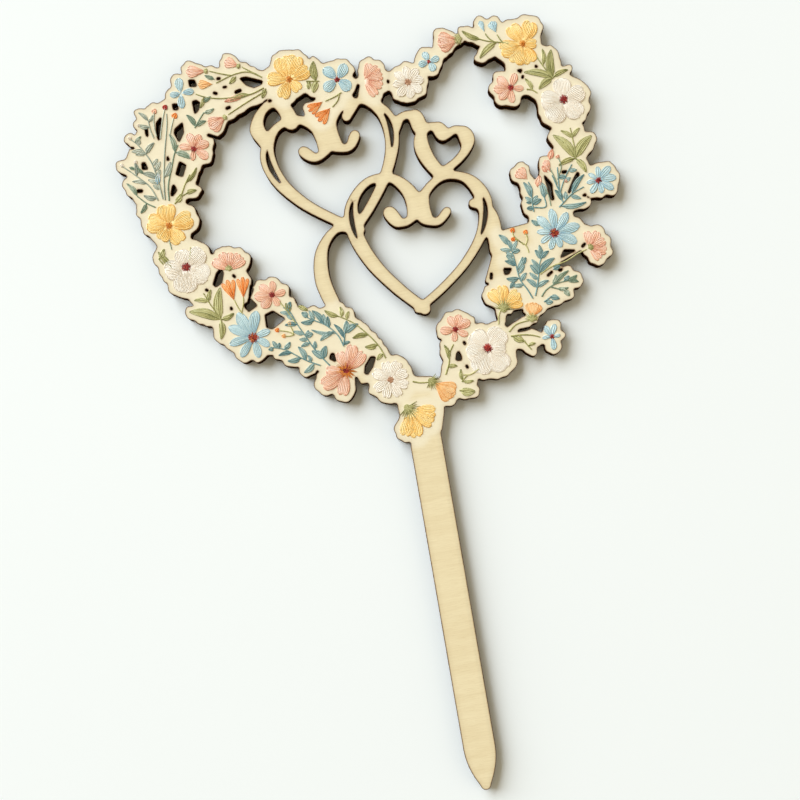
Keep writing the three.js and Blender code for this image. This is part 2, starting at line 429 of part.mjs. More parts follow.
// The ornament: hearts as middle, half width and tilt in degrees, one half of
// a heart in shares of its half width, and scrolls between places
const heartShares = [
  { middle: [-0.082, 0.165], halfWidth: 0.130, tilt: 8, firstPoint: 0 },
  { middle: [0.056, -0.006], halfWidth: 0.138, tilt: -8, firstPoint: 0 },
  { middle: [0.134, 0.166], halfWidth: 0.048, tilt: -18, firstPoint: 3 },
];
const heartHalfShares = [[0.42, 0.42], [0.27, 0.27], [0.09, 0.36], [0.10, 0.68], [0.38, 0.93], [0.74, 0.88],
  [0.97, 0.55], [0.93, 0.12], [0.68, -0.32], [0.32, -0.70], [-0.05, -1.00]];
const scrollShares = [
  [[-0.214, 0.240], [-0.228, 0.272], [-0.214, 0.304], [-0.186, 0.318], [-0.166, 0.300], [-0.158, 0.274]],
  [[-0.046, 0.266], [-0.030, 0.286], [-0.020, 0.310]],
  [[0.044, 0.222], [0.062, 0.246], [0.088, 0.246], [0.096, 0.222]],
  [[0.176, 0.050], [0.196, 0.038], [0.208, 0.006], [0.208, -0.050]],
  [[-0.062, 0.036], [-0.104, 0.046], [-0.140, 0.010], [-0.150, -0.050], [-0.134, -0.115]],
];

function vector(share) {
  return new THREE.Vector2(share[0], share[1]).multiplyScalar(WREATH_WIDTH);
}

function direction(degrees) {
  const turn = THREE.MathUtils.degToRad(degrees);
  return new THREE.Vector2(Math.cos(turn), Math.sin(turn));
}

// Outlines, as lists of points in millimetres

// A symmetric outline along one direction: profile gives, for each share of
// the length, the half breadth there as a share of the breadth.
function alongOutline(base, tip, breadth, profile) {
  const line = tip.clone().sub(base);
  const across = new THREE.Vector2(-line.y, line.x).normalize().multiplyScalar(breadth);
  const place = ([along, side], hand) => base.clone()
    .addScaledVector(line, along)
    .addScaledVector(across, hand * side);
  const left = profile.map((step) => place(step, 1));
  const right = profile.filter(([, side]) => side > 0).map((step) => place(step, -1)).reverse();
  return left.concat(right);
}

const petalShares = [[0, 0], [0.30, 0.27], [0.66, 0.49], [0.92, 0.34], [1, 0]];
const leafShares = [[0, 0], [0.30, 0.42], [0.66, 0.46], [1, 0]];
const budProfileShares = [[0, 0.08], [0.34, 0.30], [0.70, 0.50], [0.90, 0.36], [1, 0]];
const leafPadShares = [[0, 0.18], [0.10, 0.40], [0.45, 0.50], [0.88, 0.42], [1, 0.18]];
const budPadShares = [[0, 0.18], [0.10, 0.34], [0.60, 0.50], [0.90, 0.40], [1, 0.16]];

function petalOutline(middle, petal, breadthShare, grow) {
  const [degrees, reachShare] = petal;
  const reach = reachShare * WREATH_WIDTH;
  const way = direction(degrees);
  const tip = middle.clone().addScaledVector(way, reach + grow);
  return alongOutline(middle, tip, reach * breadthShare + 2 * grow, petalShares);
}

function leafOutline(base, tip, breadth, grow) {
  const way = tip.clone().sub(base).normalize();
  const start = base.clone().addScaledVector(way, -grow);
  const end = tip.clone().addScaledVector(way, grow);
  return alongOutline(start, end, breadth + 2 * grow, grow > INK_GAP ? leafPadShares : leafShares);
}

function budOutline(bud, grow) {
  const base = vector(bud.base);
  const way = direction(bud.turn);
  const start = base.clone().addScaledVector(way, -grow);
  const end = base.clone().addScaledVector(way, bud.length * WREATH_WIDTH + grow);
  const breadth = bud.breadth * WREATH_WIDTH + 2 * grow;
  return alongOutline(start, end, breadth, grow > INK_GAP ? budPadShares : budProfileShares);
}

function roundOutline(middle, radius, steps) {
  const points = [];
  for (let step = 0; step < steps; step += 1) {
    points.push(middle.clone().addScaledVector(direction(360 * step / steps), radius));
  }
  return points;
}

// A stroke of varying width along a stretch of a smooth curve, with round ends
function strokeOutline(curve, widthAt, steps, from = 0, to = 1) {
  const left = [];
  const right = [];
  const halfAcross = (along) => {
    const tangent = curve.getTangent(along);
    return new THREE.Vector2(-tangent.y, tangent.x).multiplyScalar(widthAt(tangent, along) / 2);
  };
  for (let step = 0; step <= steps; step += 1) {
    const along = THREE.MathUtils.lerp(from, to, step / steps);
    left.push(curve.getPoint(along).add(halfAcross(along)));
    right.unshift(curve.getPoint(along).sub(halfAcross(along)));
  }
  const cap = (along, hand) => {
    const arc = [];
    for (let step = 1; step < END_STEPS; step += 1) {
      const arm = halfAcross(along).multiplyScalar(hand);
      const turned = arm.rotateAround(new THREE.Vector2(), -Math.PI * step / END_STEPS);
      arc.push(turned.add(curve.getPoint(along)));
    }
    return arc;
  };
  return left.concat(cap(to, 1), right, cap(from, -1));
}

// Solids

function solidFromGeometry(geometry) {
  geometry.deleteAttribute('normal');
  geometry.deleteAttribute('uv');
  const merged = mergeVertices(geometry);
  const mesh = new wasm.Mesh({
    numProp: 3,
    vertProperties: new Float32Array(merged.attributes.position.array),
    triVerts: new Uint32Array(merged.index.array),
  });
  return new wasm.Manifold(mesh);
}

// The loops round a flat solid's upper face: the outer one runs anticlockwise
// and the cut-outs run clockwise
function loopsOf(solid) {
  const { vertProperties, triVerts, numProp } = solid.getMesh();
  const place = (index) => vertProperties.slice(index * numProp, index * numProp + 3);
  const onTop = (index) => place(index)[2] > 0;
  const edges = new Set();
  for (let first = 0; first < triVerts.length; first += 3) {
    const corners = Array.from(triVerts.slice(first, first + 3));
    if (corners.every(onTop)) {
      corners.forEach((corner, side) => {
        const following = corners[(side + 1) % 3];
        if (!edges.delete(`${following} ${corner}`)) edges.add(`${corner} ${following}`);
      });
    }
  }
  const after = new Map();
  for (const edge of edges) {
    const [start, end] = edge.split(' ').map(Number);
    after.set(start, [...(after.get(start) ?? []), end]);
  }
  const loops = [];
  while (after.size > 0) {
    const [start] = after.keys();
    const loop = [];
    let here = start;
    do {
      const [x, z] = place(here);
      loop.push(new THREE.Vector2(x, z));
      const ways = after.get(here);
      const following = ways.pop();
      if (ways.length === 0) after.delete(here);
      here = following;
    } while (here !== start);
    loops.push(loop);
  }
  return loops;
}

// Drops the points of an open run that lie on the line between its ends
function straightened(run, tolerance) {
  const [start, end] = [run[0], run[run.length - 1]];
  const line = end.clone().sub(start);
  const length = line.length();
  const offLine = run.map((point) => {
    const arm = point.clone().sub(start);
    return length > 0 ? Math.abs(arm.cross(line)) / length : arm.length();
  });
  const farthest = offLine.indexOf(Math.max(...offLine));
  if (offLine[farthest] <= tolerance) return [start, end];
  const before = straightened(run.slice(0, farthest + 1), tolerance);
  const behind = straightened(run.slice(farthest), tolerance);
  return before.concat(behind.slice(1));
}

function tidyLoop(loop, tolerance) {
  const distances = loop.map((point) => point.distanceTo(loop[0]));
  const opposite = distances.indexOf(Math.max(...distances));
  const there = straightened(loop.slice(0, opposite + 1), tolerance);
  const back = straightened([...loop.slice(opposite), loop[0]], tolerance);
  return there.concat(back.slice(1, -1));
}

// Whether any two sides of the loops cross
function loopsCross(loops) {
  const sides = loops.flatMap((loop) => loop.map((start, index) => [start, loop[(index + 1) % loop.length]]));
  const boxes = sides.map((side) => new THREE.Box2().setFromPoints(side));
  const turn = (start, end, point) => Math.sign(end.clone().sub(start).cross(point.clone().sub(start)));
  const parted = ([start, end], [first, second]) => turn(start, end, first) * turn(start, end, second) < 0;
  const cross = (one, other) => boxes[one].intersectsBox(boxes[other])
    && parted(sides[one], sides[other]) && parted(sides[other], sides[one]);
  return sides.some((_, one) => sides.some((side, other) => other > one && cross(one, other)));
}

// Straightens the loops as far as the tolerance lets them, without a crossing
function tidyLoops(loops, tolerance) {
  const tidied = loops.map((loop) => tidyLoop(loop, tolerance)).filter((loop) => loop.length > 2);
  return loopsCross(tidied) ? tidyLoops(loops, tolerance / 2) : tidied;
}

// A layer of the topper: the solid's outline at its real thickness
function layerGeometry(solid, thickness, tolerance) {
  const loops = tidyLoops(loopsOf(solid), tolerance);
  const kept = loops.filter((loop) => Math.abs(THREE.ShapeUtils.area(loop)) > SMALLEST_CUT_OUT);
  const shape = new THREE.Shape(kept.find((loop) => THREE.ShapeUtils.area(loop) > 0));
  shape.holes = kept.filter((loop) => THREE.ShapeUtils.area(loop) < 0).map((loop) => new THREE.Path(loop));
  return new THREE.ExtrudeGeometry(shape, { depth: thickness, bevelEnabled: false });
}

// A plate one unit thick, drawn flat
function plate(outline) {
  const shape = new THREE.Shape(outline);
  return solidFromGeometry(new THREE.ExtrudeGeometry(shape, { depth: 1, bevelEnabled: false }));
}

function joined(solids) {
  return solids.reduce((whole, solid) => whole.add(solid));
}

// Each motif's plates, grown by a given amount all round
function blossomPlates(blossom, grow) {
  const middle = vector(blossom.middle);
  const plates = blossom.petals.map((petal) => plate(petalOutline(middle, petal, blossom.breadth, grow)));
  plates.push(plate(roundOutline(middle, BLOSSOM_MIDDLE_RADIUS + grow, ROUND_STEPS)));
  return plates;
}

function budPlates(bud, grow) {
  return [plate(budOutline(bud, grow))];
}

function berryPlates(berry, grow) {
  return [plate(roundOutline(vector(berry.middle), BERRY_RADIUS + grow, ROUND_STEPS))];
}

function sprigPlates(sprig, grow) {
  return sprig.stalks.flatMap(({ points, leaves }) => {
    const places = points.map(vector);
    const curve = new THREE.SplineCurve(places);
    const steps = 2 * (places.length - 1);
    const stalk = plate(strokeOutline(curve, () => STEM_WIDTH + 2 * grow, steps));
    const blades = leaves.map(([along, x, z, breadth]) => plate(
      leafOutline(curve.getPoint(along), vector([x, z]), breadth * WREATH_WIDTH, grow)));
    return [stalk, ...blades];
  });
}

const motifs = [
  ...blossomShares.map((motif) => ({ motif, plates: blossomPlates })),
  ...budShares.map((motif) => ({ motif, plates: budPlates })),
  ...berryShares.map((motif) => ({ motif, plates: berryPlates })),
  ...sprigShares.map((motif) => ({ motif, plates: sprigPlates })),
];

// The stake, from inside the neck down to its rounded point
function stakePlate() {
  const half = STAKE_WIDTH / 2;
  const top = stakeTopShare * WREATH_WIDTH;
  const tip = -WREATH_HEIGHT_ABOVE_CAKE - STAKE_DEPTH_IN_CAKE;
  const shoulder = tip + STAKE_TIP_LENGTH;
  const tipMiddle = tip + STAKE_TIP_RADIUS;
  const shape = new THREE.Shape();
  shape.moveTo(half, top);
  shape.lineTo(-half, top);
  shape.lineTo(-half, shoulder);
  shape.quadraticCurveTo(-half, (shoulder + tipMiddle) / 2, -STAKE_TIP_RADIUS, tipMiddle);
  shape.absarc(0, tipMiddle, STAKE_TIP_RADIUS, Math.PI, 2 * Math.PI);
  shape.quadraticCurveTo(half, (shoulder + tipMiddle) / 2, half, shoulder);
  return plate(shape.getPoints(ROUND_STEPS / 2));
}

// The open ornament in the middle: entwined hearts and scrolls, drawn with a
// stroke that is thick along the pen and thin across it, and split where it is
// thickest
function penWidth(tangent) {
  const along = Math.abs(tangent.dot(direction(PEN_SLANT)));
  return THIN_STROKE + (THICK_STROKE - THIN_STROKE) * along ** PEN_CONTRAST;
}

function heartCurves(heart) {
  const size = heart.halfWidth * WREATH_WIDTH;
  const tilt = THREE.MathUtils.degToRad(heart.tilt);
  const half = heartHalfShares.slice(heart.firstPoint);
  const place = ([x, z], hand) => new THREE.Vector2(hand * x * size, z * size)
    .rotateAround(new THREE.Vector2(), tilt)
    .add(vector(heart.middle));
  return [1, -1].map((hand) => new THREE.SplineCurve(half.map((share) => place(share, hand))));
}

function ornamentPlates() {
  const hearts = heartShares.flatMap(heartCurves);
  const scrolls = scrollShares.map((points) => new THREE.SplineCurve(points.map(vector)));
  return [...hearts, ...scrolls].map((curve) => (
    plate(strokeOutline(curve, penWidth, STROKE_STEPS * (curve.points.length - 1)))
  ));
}

function slitPlates() {
  const large = heartShares.filter((heart) => heart.halfWidth * WREATH_WIDTH > SMALLEST_SLIT_HEART);
  const width = (tangent, along) => {
    const share = THREE.MathUtils.inverseLerp(slitRunShare[0], slitRunShare[1], along);
    return SLIT_WIDTH * (slitEndShare + Math.sin(Math.PI * share));
  };
  return large.flatMap(heartCurves).map((curve) => (
    plate(strokeOutline(curve, width, SLIT_STEPS, ...slitRunShare))
  ));
}

// The outline that all three plies share, one unit thick
function woodSolid() {
  const pads = motifs.flatMap(({ motif, plates }) => plates(motif, LASER_MARGIN));
  const webs = webShares.map((corners) => plate(corners.map(vector)));
  const cuts = cutShares.map((corners) => plate(corners.map(vector)));
  const whole = joined([...pads, ...webs, ...ornamentPlates(), stakePlate()]);
  return whole.subtract(joined([...cuts, ...slitPlates()]));
}

const topper = new THREE.Group();
topper.position.z = WREATH_HEIGHT_ABOVE_CAKE;

// Stands a flat plate up, with its front towards -Y, and gives it its thickness
function addLayer(name, solid, tolerance, thickness, front, finish) {
  const geometry = layerGeometry(solid, thickness, tolerance).applyMatrix4(UPRIGHT);
  const mesh = new THREE.Mesh(geometry, finish);
  mesh.name = name;
  mesh.position.y = front + thickness;
  topper.add(mesh);
}

const wood = woodSolid();
const coreFront = -CORE_THICKNESS / 2;
const woodFront = coreFront - VENEER_THICKNESS;
addLayer('ply_core', wood, WOOD_TOLERANCE, CORE_THICKNESS, coreFront, finishes.coreWood);
addLayer('ply_front', wood, WOOD_TOLERANCE, VENEER_THICKNESS, woodFront, finishes.faceWood);
addLayer('ply_back', wood, WOOD_TOLERANCE, VENEER_THICKNESS, coreFront + CORE_THICKNESS, finishes.faceWood);

// Each named motif's raised ink, held off the ink that was laid before it
const laid = [];
for (const { motif, plates } of motifs.filter(({ motif: { name } }) => name)) {
  const ink = laid.reduce((rest, earlier) => rest.subtract(earlier), joined(plates(motif, 0)));
  laid.push(joined(plates(motif, INK_GAP)));
  addLayer(motif.name, ink, INK_TOLERANCE, INK_THICKNESS, woodFront - INK_THICKNESS, finishes[motif.ink]);
}

export default topper;
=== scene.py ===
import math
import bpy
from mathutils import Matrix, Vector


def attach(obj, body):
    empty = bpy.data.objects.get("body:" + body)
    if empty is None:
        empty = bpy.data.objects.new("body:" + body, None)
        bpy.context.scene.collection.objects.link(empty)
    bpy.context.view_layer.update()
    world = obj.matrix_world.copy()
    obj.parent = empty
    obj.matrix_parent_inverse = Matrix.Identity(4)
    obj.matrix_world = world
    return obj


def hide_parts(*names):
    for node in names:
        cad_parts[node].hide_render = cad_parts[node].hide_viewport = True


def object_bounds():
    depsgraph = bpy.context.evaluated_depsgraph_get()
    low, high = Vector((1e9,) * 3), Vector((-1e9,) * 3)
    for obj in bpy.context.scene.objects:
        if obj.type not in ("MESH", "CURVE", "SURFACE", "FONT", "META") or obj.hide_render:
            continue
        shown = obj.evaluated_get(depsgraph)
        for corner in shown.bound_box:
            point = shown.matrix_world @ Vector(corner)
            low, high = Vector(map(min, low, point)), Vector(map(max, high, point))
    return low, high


bl_info = {
    "name": "Printed wooden cake topper",
    "version": (1, 0, 0),
    "blender": (4, 5, 0),
    "location": "3D View > Sidebar > Topper",
    "description": "Dresses a laser-cut topper in burnt plywood and raised flower print",
    "category": "Object",
}

from collections import namedtuple

import bpy
import numpy as np
from mathutils import Matrix, Vector
from mathutils.geometry import delaunay_2d_cdt
from mathutils.kdtree import KDTree

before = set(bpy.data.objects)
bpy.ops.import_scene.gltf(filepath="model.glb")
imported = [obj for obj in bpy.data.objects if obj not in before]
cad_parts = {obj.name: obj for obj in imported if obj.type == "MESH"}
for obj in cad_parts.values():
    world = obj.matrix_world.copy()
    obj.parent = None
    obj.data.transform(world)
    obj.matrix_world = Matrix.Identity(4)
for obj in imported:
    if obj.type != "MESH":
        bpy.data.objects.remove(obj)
cad_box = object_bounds()

MM = 0.001

# The tables count in thousandths of the wreath's width, with z from the wreath's
# middle, and every place is an x and a z.

Blossom = namedtuple("Blossom", "name ink form middle breadth petals stamens")
Bud = namedtuple("Bud", "name ink base degrees size breadth")

# Blossoms: breadth as a share of the reach, each petal's direction in degrees and
# its reach, and the stamens' ink, how far they spread in millimetres, how many
BLOSSOMS = [Blossom(*row) for row in (
    ("blossom_yellow_left", "yellow", "notched", (-437, 110), 0.86,
     (88, 47, 158, 48, 230, 36, 298, 45, 12, 54), ("honey", 0.85, 16)),
    ("blossom_coral_left", "coral", "round", (-361, 254), 0.62,
     (100, 34, 58, 32, 14, 33, 318, 34, 252, 23, 158, 30), ("red", 0.75, 16)),
    ("blossom_blue_cross", "blue", "round", (-367, 370), 0.62,
     (90, 31, 180, 23, 0, 26, 264, 31), None),
    ("blossom_yellow_top", "yellow", "notched", (-147, 360), 0.72,
     (100, 52, 62, 54, 18, 48, 172, 48, 240, 44, 302, 33), ("honey", 0.85, 16)),
    ("blossom_blue_top", "blue", "round", (-52, 343), 0.8,
     (52, 36, 130, 36, 210, 34, 314, 34), ("red", 0.7, 14)),
    ("blossom_white_daisy", "white", "round", (88, 313), 0.66,
     (0, 33, 45, 34, 90, 33, 135, 34, 180, 31, 225, 34, 270, 33, 315, 34), ("tan", 0.9, 20)),
    ("blossom_blue_small", "blue", "round", (137, 347), 0.8,
     (112, 22, 14, 22, 190, 22, 290, 22), ("red", 0.45, 8)),
    ("blossom_yellow_right", "yellow", "notched", (330, 350), 0.76,
     (116, 48, 60, 52, 352, 30, 284, 46, 238, 47, 187, 51), ("honey", 0.85, 16)),
    ("blossom_coral_right", "coral", "round", (291, 267), 0.62,
     (132, 34, 176, 35, 216, 33, 266, 31, 348, 26, 62, 30), ("red", 0.8, 16)),
    ("blossom_white_right", "white", "broad", (392, 225), 0.98,
     (88, 45, 16, 47, 308, 50, 230, 52, 172, 47), ("red", 1.1, 26)),
    ("blossom_blue_edge", "blue", "round", (433, 52), 0.48,
     (0, 37, 40, 37, 84, 28, 136, 24, 182, 24, 230, 30, 276, 27, 320, 36), ("red", 0.85, 18)),
    ("blossom_blue_right", "blue", "round", (327, -38), 0.5,
     (126, 48, 88, 50, 48, 50, 8, 54, 328, 50, 286, 32, 248, 34, 206, 33, 166, 35),
      ("red", 1.25, 34)),
    ("blossom_blue_low", "blue", "round", (287, -243), 0.5,
     (180, 20, 2, 17, 268, 27, 114, 26, 68, 26), ("red", 0.6, 12)),
    ("blossom_white_low", "white", "broad", (155, -244), 1.0,
     (40, 50, 124, 46, 190, 46, 242, 56, 304, 58, 350, 38), ("red", 1.2, 28)),
    ("blossom_coral_low", "coral", "round", (97, -195), 0.66,
     (108, 29, 64, 31, 20, 34, 176, 31, 254, 25, 326, 28), ("red", 0.75, 16)),
    ("blossom_cosmos_low", "white", "notched", (-49, -273), 0.66,
     (98, 41, 56, 43, 14, 40, 332, 40, 290, 41, 246, 41, 202, 41, 144, 42), ("tan", 0.8, 18)),
    ("blossom_coral_cosmos", "coral", "notched", (-135, -240), 0.56,
     (36, 56, 66, 59, 100, 44, 168, 44, 202, 62, 252, 54), ("red", 1.6, 46)),
    ("blossom_blue_left", "blue", "round", (-308, -142), 0.52,
     (112, 60, 74, 55, 14, 37, 146, 55, 186, 50, 228, 46, 276, 42, 324, 37), ("red", 1.3, 36)),
    ("blossom_white_left", "white", "broad", (-417, 22), 1.0,
     (100, 38, 180, 46, 254, 54, 326, 52, 38, 50), ("red", 1.2, 28)),
    ("blossom_coral_side", "coral", "round", (-256, -63), 0.66,
     (133, 32, 80, 28, 6, 28, 292, 26, 222, 33, 176, 36), ("red", 0.75, 16)),
    ("fan_pink_left", "coral", "notched", (-333, 2), 0.48,
     (140, 41, 106, 41, 78, 38, 50, 41, 24, 41), None),
    ("fan_pink_top", "coral", "notched", (3, 333), 0.5,
     (66, 37, 32, 41, 2, 40, 330, 41, 296, 43), None),
    ("fan_pink_edge", "coral", "notched", (392, -79), 0.54,
     (92, 36, 54, 40, 16, 38, 338, 38, 302, 34), None),
    ("cup_yellow_right", "yellow", "notched", (200, -165), 0.62,
     (122, 44, 84, 45, 34, 46, 4, 44), None),
    ("cup_yellow_neck", "yellow", "notched", (-22, -345), 0.54,
     (248, 52, 276, 56, 324, 55, 352, 56), None),
)]

# Buds and bells: where the stalk ends, direction in degrees, length and breadth.
# A motif that has no node has no name.
BUDS = [Bud(*row) for row in (
    ("bud_pink_top_left", "coral", (-308, 405), 172, 44, 24),
    ("bud_pink_top", "coral", (-242, 403), 150, 33, 22),
    ("bud_peach_top", "peach", (-300, 377), 172, 32, 18),
    ("bell_pink_left", "coral", (-286, 308), 204, 42, 34),
    ("bell_pink_top", "coral", (206, 381), 181, 47, 42),
    ("bud_orange_upper", "orange", (-88, 304), 204, 36, 14),
    ("bud_orange_lower", "orange", (-75, 289), 218, 38, 18),
    ("bud_orange_left", "orange", (-333, -62), 100, 47, 18),
    ("bud_orange_side", "orange", (-314, -60), 83, 45, 16),
    (None, "blue", (258, 386), 104, 26, 10),
    ("bud_blue_wide", "blue", (281, 381), 106, 26, 18),
    ("bud_pink_right", "coral", (293, 78), 128, 30, 26),
    (None, "coral", (341, 84), 106, 29, 14),
    ("bud_peach_low", "peach", (253, -200), 72, 34, 36),
    ("bell_peach_neck", "peach", (34, -292), 318, 54, 44),
)]

# Berries that the margin follows
BERRIES = (-427, 343, -404, 347, -388, 327)

# Sprigs: node, ink, and stalks, each as its points from foot to tip and its
# leaves in fours: share along the stalk, tip and breadth
SPRIGS = [
    (None, "mist", (
     ((-436, 163, -431, 205, -420, 258, -407, 308, -403, 334), (260, -412, 237, 13)),)),
    ("sprig_left_inner", "sage", (
     ((-428, 160, -424, 192, -411, 226, -402, 250, -391, 268), (800, -405, 293, 10, 800, -369,
      236, 12)),)),
    (None, "olive", (
     ((-418, 152, -402, 164, -392, 168), (100, -402, 169, 11, 950, -370, 172, 9)),
     ((-404, 163, -392, 185, -378, 205), (600, -362, 217, 7)),)),
    ("sprig_left_mid", "mist", (
     ((-440, 166, -443, 205, -449, 238, -457, 258, -471, 282, -484, 296), (620, -479, 263, 8, 620,
      -438, 281, 10, 220, -472, 224, 11)),)),
    ("sprig_left_outer", "mist", (
     ((-450, 165, -462, 195, -488, 224, -511, 246), (400, -495, 211, 8, 60, -477, 179, 10, 620,
      -483, 248, 9)),)),
    (None, "sage", (
     ((-458, 152, -474, 163, -490, 180), (980, -507, 209, 9, 500, -489, 145, 8)),)),
    (None, "mist", (
     ((-437, 290, -441, 308, -442, 326), (980, -459, 346, 7, 620, -464, 322, 9, 900, -431, 336,
      6)),)),
    ("stalks_top_left", "olive", (
     ((-201, 374, -226, 389, -256, 389, -294, 378), ()),
     ((-262, 388, -284, 396, -303, 404), ()),
     ((-210, 381, -224, 391, -237, 401), ()),)),
    (None, "olive", (
     ((-201, 352, -235, 343, -285, 345, -318, 353, -338, 363), (220, -272, 338, 9, 800, -335, 334,
      7)),)),
    (None, "olive", (
     ((-199, 345, -240, 329, -281, 311), ()),)),
    (None, "sage", (
     ((-352, 296, -337, 314, -328, 324), (100, -364, 325, 10, 100, -327, 306, 9, 900, -307, 328,
      8)),)),
    ("leaves_yellow_top", "olive", (
     ((-114, 350, -100, 348, -88, 346), (300, -113, 334, 8, 700, -93, 388, 16, 800, -104, 325,
      14)),)),
    (None, "olive", (
     ((-48, 316, -62, 310, -83, 304), ()),
     ((-52, 315, -58, 301, -71, 290), ()),)),
    ("sprig_blue_buds", "olive", (
     ((302, 356, 280, 362, 252, 371, 215, 392), (340, 239, 336, 12, 700, 213, 397, 10)),
     ((273, 364, 264, 373, 259, 383), ()),
     ((291, 359, 286, 367, 282, 377), ()),)),
    ("leaves_top_right", "olive", (
     ((379, 271, 366, 292, 352, 322), (40, 322, 293, 15, 40, 384, 329, 17, 40, 346, 254, 14, 40,
      411, 283, 9, 620, 367, 333, 8)),)),
    (None, "olive", (
     ((322, 258, 332, 255, 342, 247), (600, 322, 280, 8)),)),
    ("leaves_right", "olive", (
     ((395, 102, 397, 124, 396, 146, 395, 166), (40, 358, 158, 19, 40, 435, 144, 20, 40, 359, 95,
      10, 40, 412, 72, 12, 660, 375, 164, 8, 660, 414, 163, 8)),)),
    ("sprig_right_upper", "teal", (
     ((346, 12, 354, 18, 376, 34, 402, 44), (160, 402, 13, 10, 660, 407, 69, 10)),
     ((356, 19, 353, 38, 366, 66, 386, 93), (100, 343, 48, 10)),
     ((354, 36, 348, 58, 343, 78), ()),
     ((352, 42, 354, 68, 356, 92), (550, 371, 70, 9)),)),
    ("sprig_right_bud", "teal", (
     ((294, 12, 294, 35, 298, 57, 293, 73), (400, 283, 74, 11, 220, 313, 34, 12, 100, 281, 21, 9,
      300, 282, 33, 6)),
     ((296, 20, 320, 18, 318, 45), (800, 316, 70, 14)),)),
    ("sprig_right_teal", "teal", (
     ((262, -160, 254, -140, 243, -118, 240, -90, 237, -62, 231, -44), (960, 216, -22, 11, 420,
      216, -112, 10, 600, 219, -76, 9, 800, 253, -60, 10, 540, 256, -74, 9, 360, 258, -107, 9,
      860, 233, -36, 7)),)),
    ("sprig_right_deep", "teal", (
     ((268, -156, 275, -138, 282, -115, 288, -92, 297, -76), (500, 268, -93, 13, 520, 319, -87,
      13, 220, 256, -120, 10, 220, 300, -130, 9, 840, 283, -65, 10, 840, 310, -71, 9)),)),
    ("sprig_right_fan", "sage", (
     ((280, -160, 293, -147, 314, -139, 340, -137), (560, 316, -121, 9, 620, 343, -117, 9, 940,
      358, -129, 9, 940, 359, -143, 9)),
     ((300, -143, 313, -149, 328, -156), (500, 337, -151, 7, 900, 336, -168, 10)),)),
    (None, "teal", (
     ((283, -171, 290, -168, 300, -162), (200, 301, -174, 10, 800, 315, -170, 11)),)),
    (None, "olive", (
     ((205, -228, 228, -229, 250, -234, 263, -240), (50, 232, -243, 10)),
     ((222, -229, 232, -246, 242, -262), (700, 252, -250, 6)),)),
    (None, "olive", (
     ((203, -219, 220, -206, 247, -203), ()),)),
    (None, "olive", (
     ((62, -282, 72, -262, 78, -240, 88, -224), (450, 69, -222, 8, 250, 88, -268, 8)),)),
    ("leaf_neck", "olive", (
     ((84, -318, 90, -320, 96, -322), (100, 115, -325, 17)),)),
    (None, "olive", (
     ((92, -302, 98, -296, 106, -290), (100, 116, -303, 6, 200, 94, -276, 7)),)),
    (None, "olive", (
     ((-6, -284, 8, -289, 26, -291), ()),)),
    ("sprig_low_olive", "olive", (
     ((-52, -228, -60, -204, -78, -176, -105, -146, -132, -128), (120, -70, -229, 8, 300, -89,
      -199, 11, 500, -111, -177, 10, 980, -157, -112, 10, 920, -125, -110, 8, 840, -109, -122,
      7)),)),
    ("sprig_low_teal", "teal", (
     ((-131, -190, -139, -166, -158, -143, -180, -129, -194, -120), (970, -203, -108, 11, 440,
      -153, -125, 10, 560, -182, -108, 11, 760, -208, -128, 10, 340, -176, -171, 10, 300, -190,
      -146, 7)),
     ((-131, -188, -126, -172, -123, -158), (800, -117, -140, 12, 700, -95, -150, 12, 400, -143,
      -143, 8, 50, -117, -183, 6)),)),
    ("sprig_low_left", "teal", (
     ((-165, -224, -178, -205, -192, -182, -203, -158, -216, -130, -226, -103, -238, -92), (140,
      -196, -188, 14, 140, -166, -183, 14, 400, -216, -176, 8, 500, -188, -154, 12, 500, -196,
      -146, 8, 860, -222, -83, 10, 660, -241, -128, 9)),)),
    ("sprig_low_edge", "teal", (
     ((-184, -220, -206, -208, -226, -194, -248, -177, -272, -168), (780, -236, -163, 9, 860,
      -258, -161, 8, 620, -264, -186, 8, 420, -248, -200, 10, 300, -222, -175, 11, 140, -219,
      -229, 11, 200, -205, -196, 7, 980, -282, -171, 8)),)),
    ("leaves_left_low", "olive", (
     ((-366, -96, -374, -78, -384, -56, -392, -36), (40, -427, -68, 20, 40, -357, -30, 19, 40,
      -338, -86, 10, 40, -373, -134, 13, 680, -413, -47, 9, 680, -376, -31, 8)),)),
    (None, "olive", (
     ((-462, 36, -466, 42, -469, 48), (900, -455, 66, 10)),)),
]

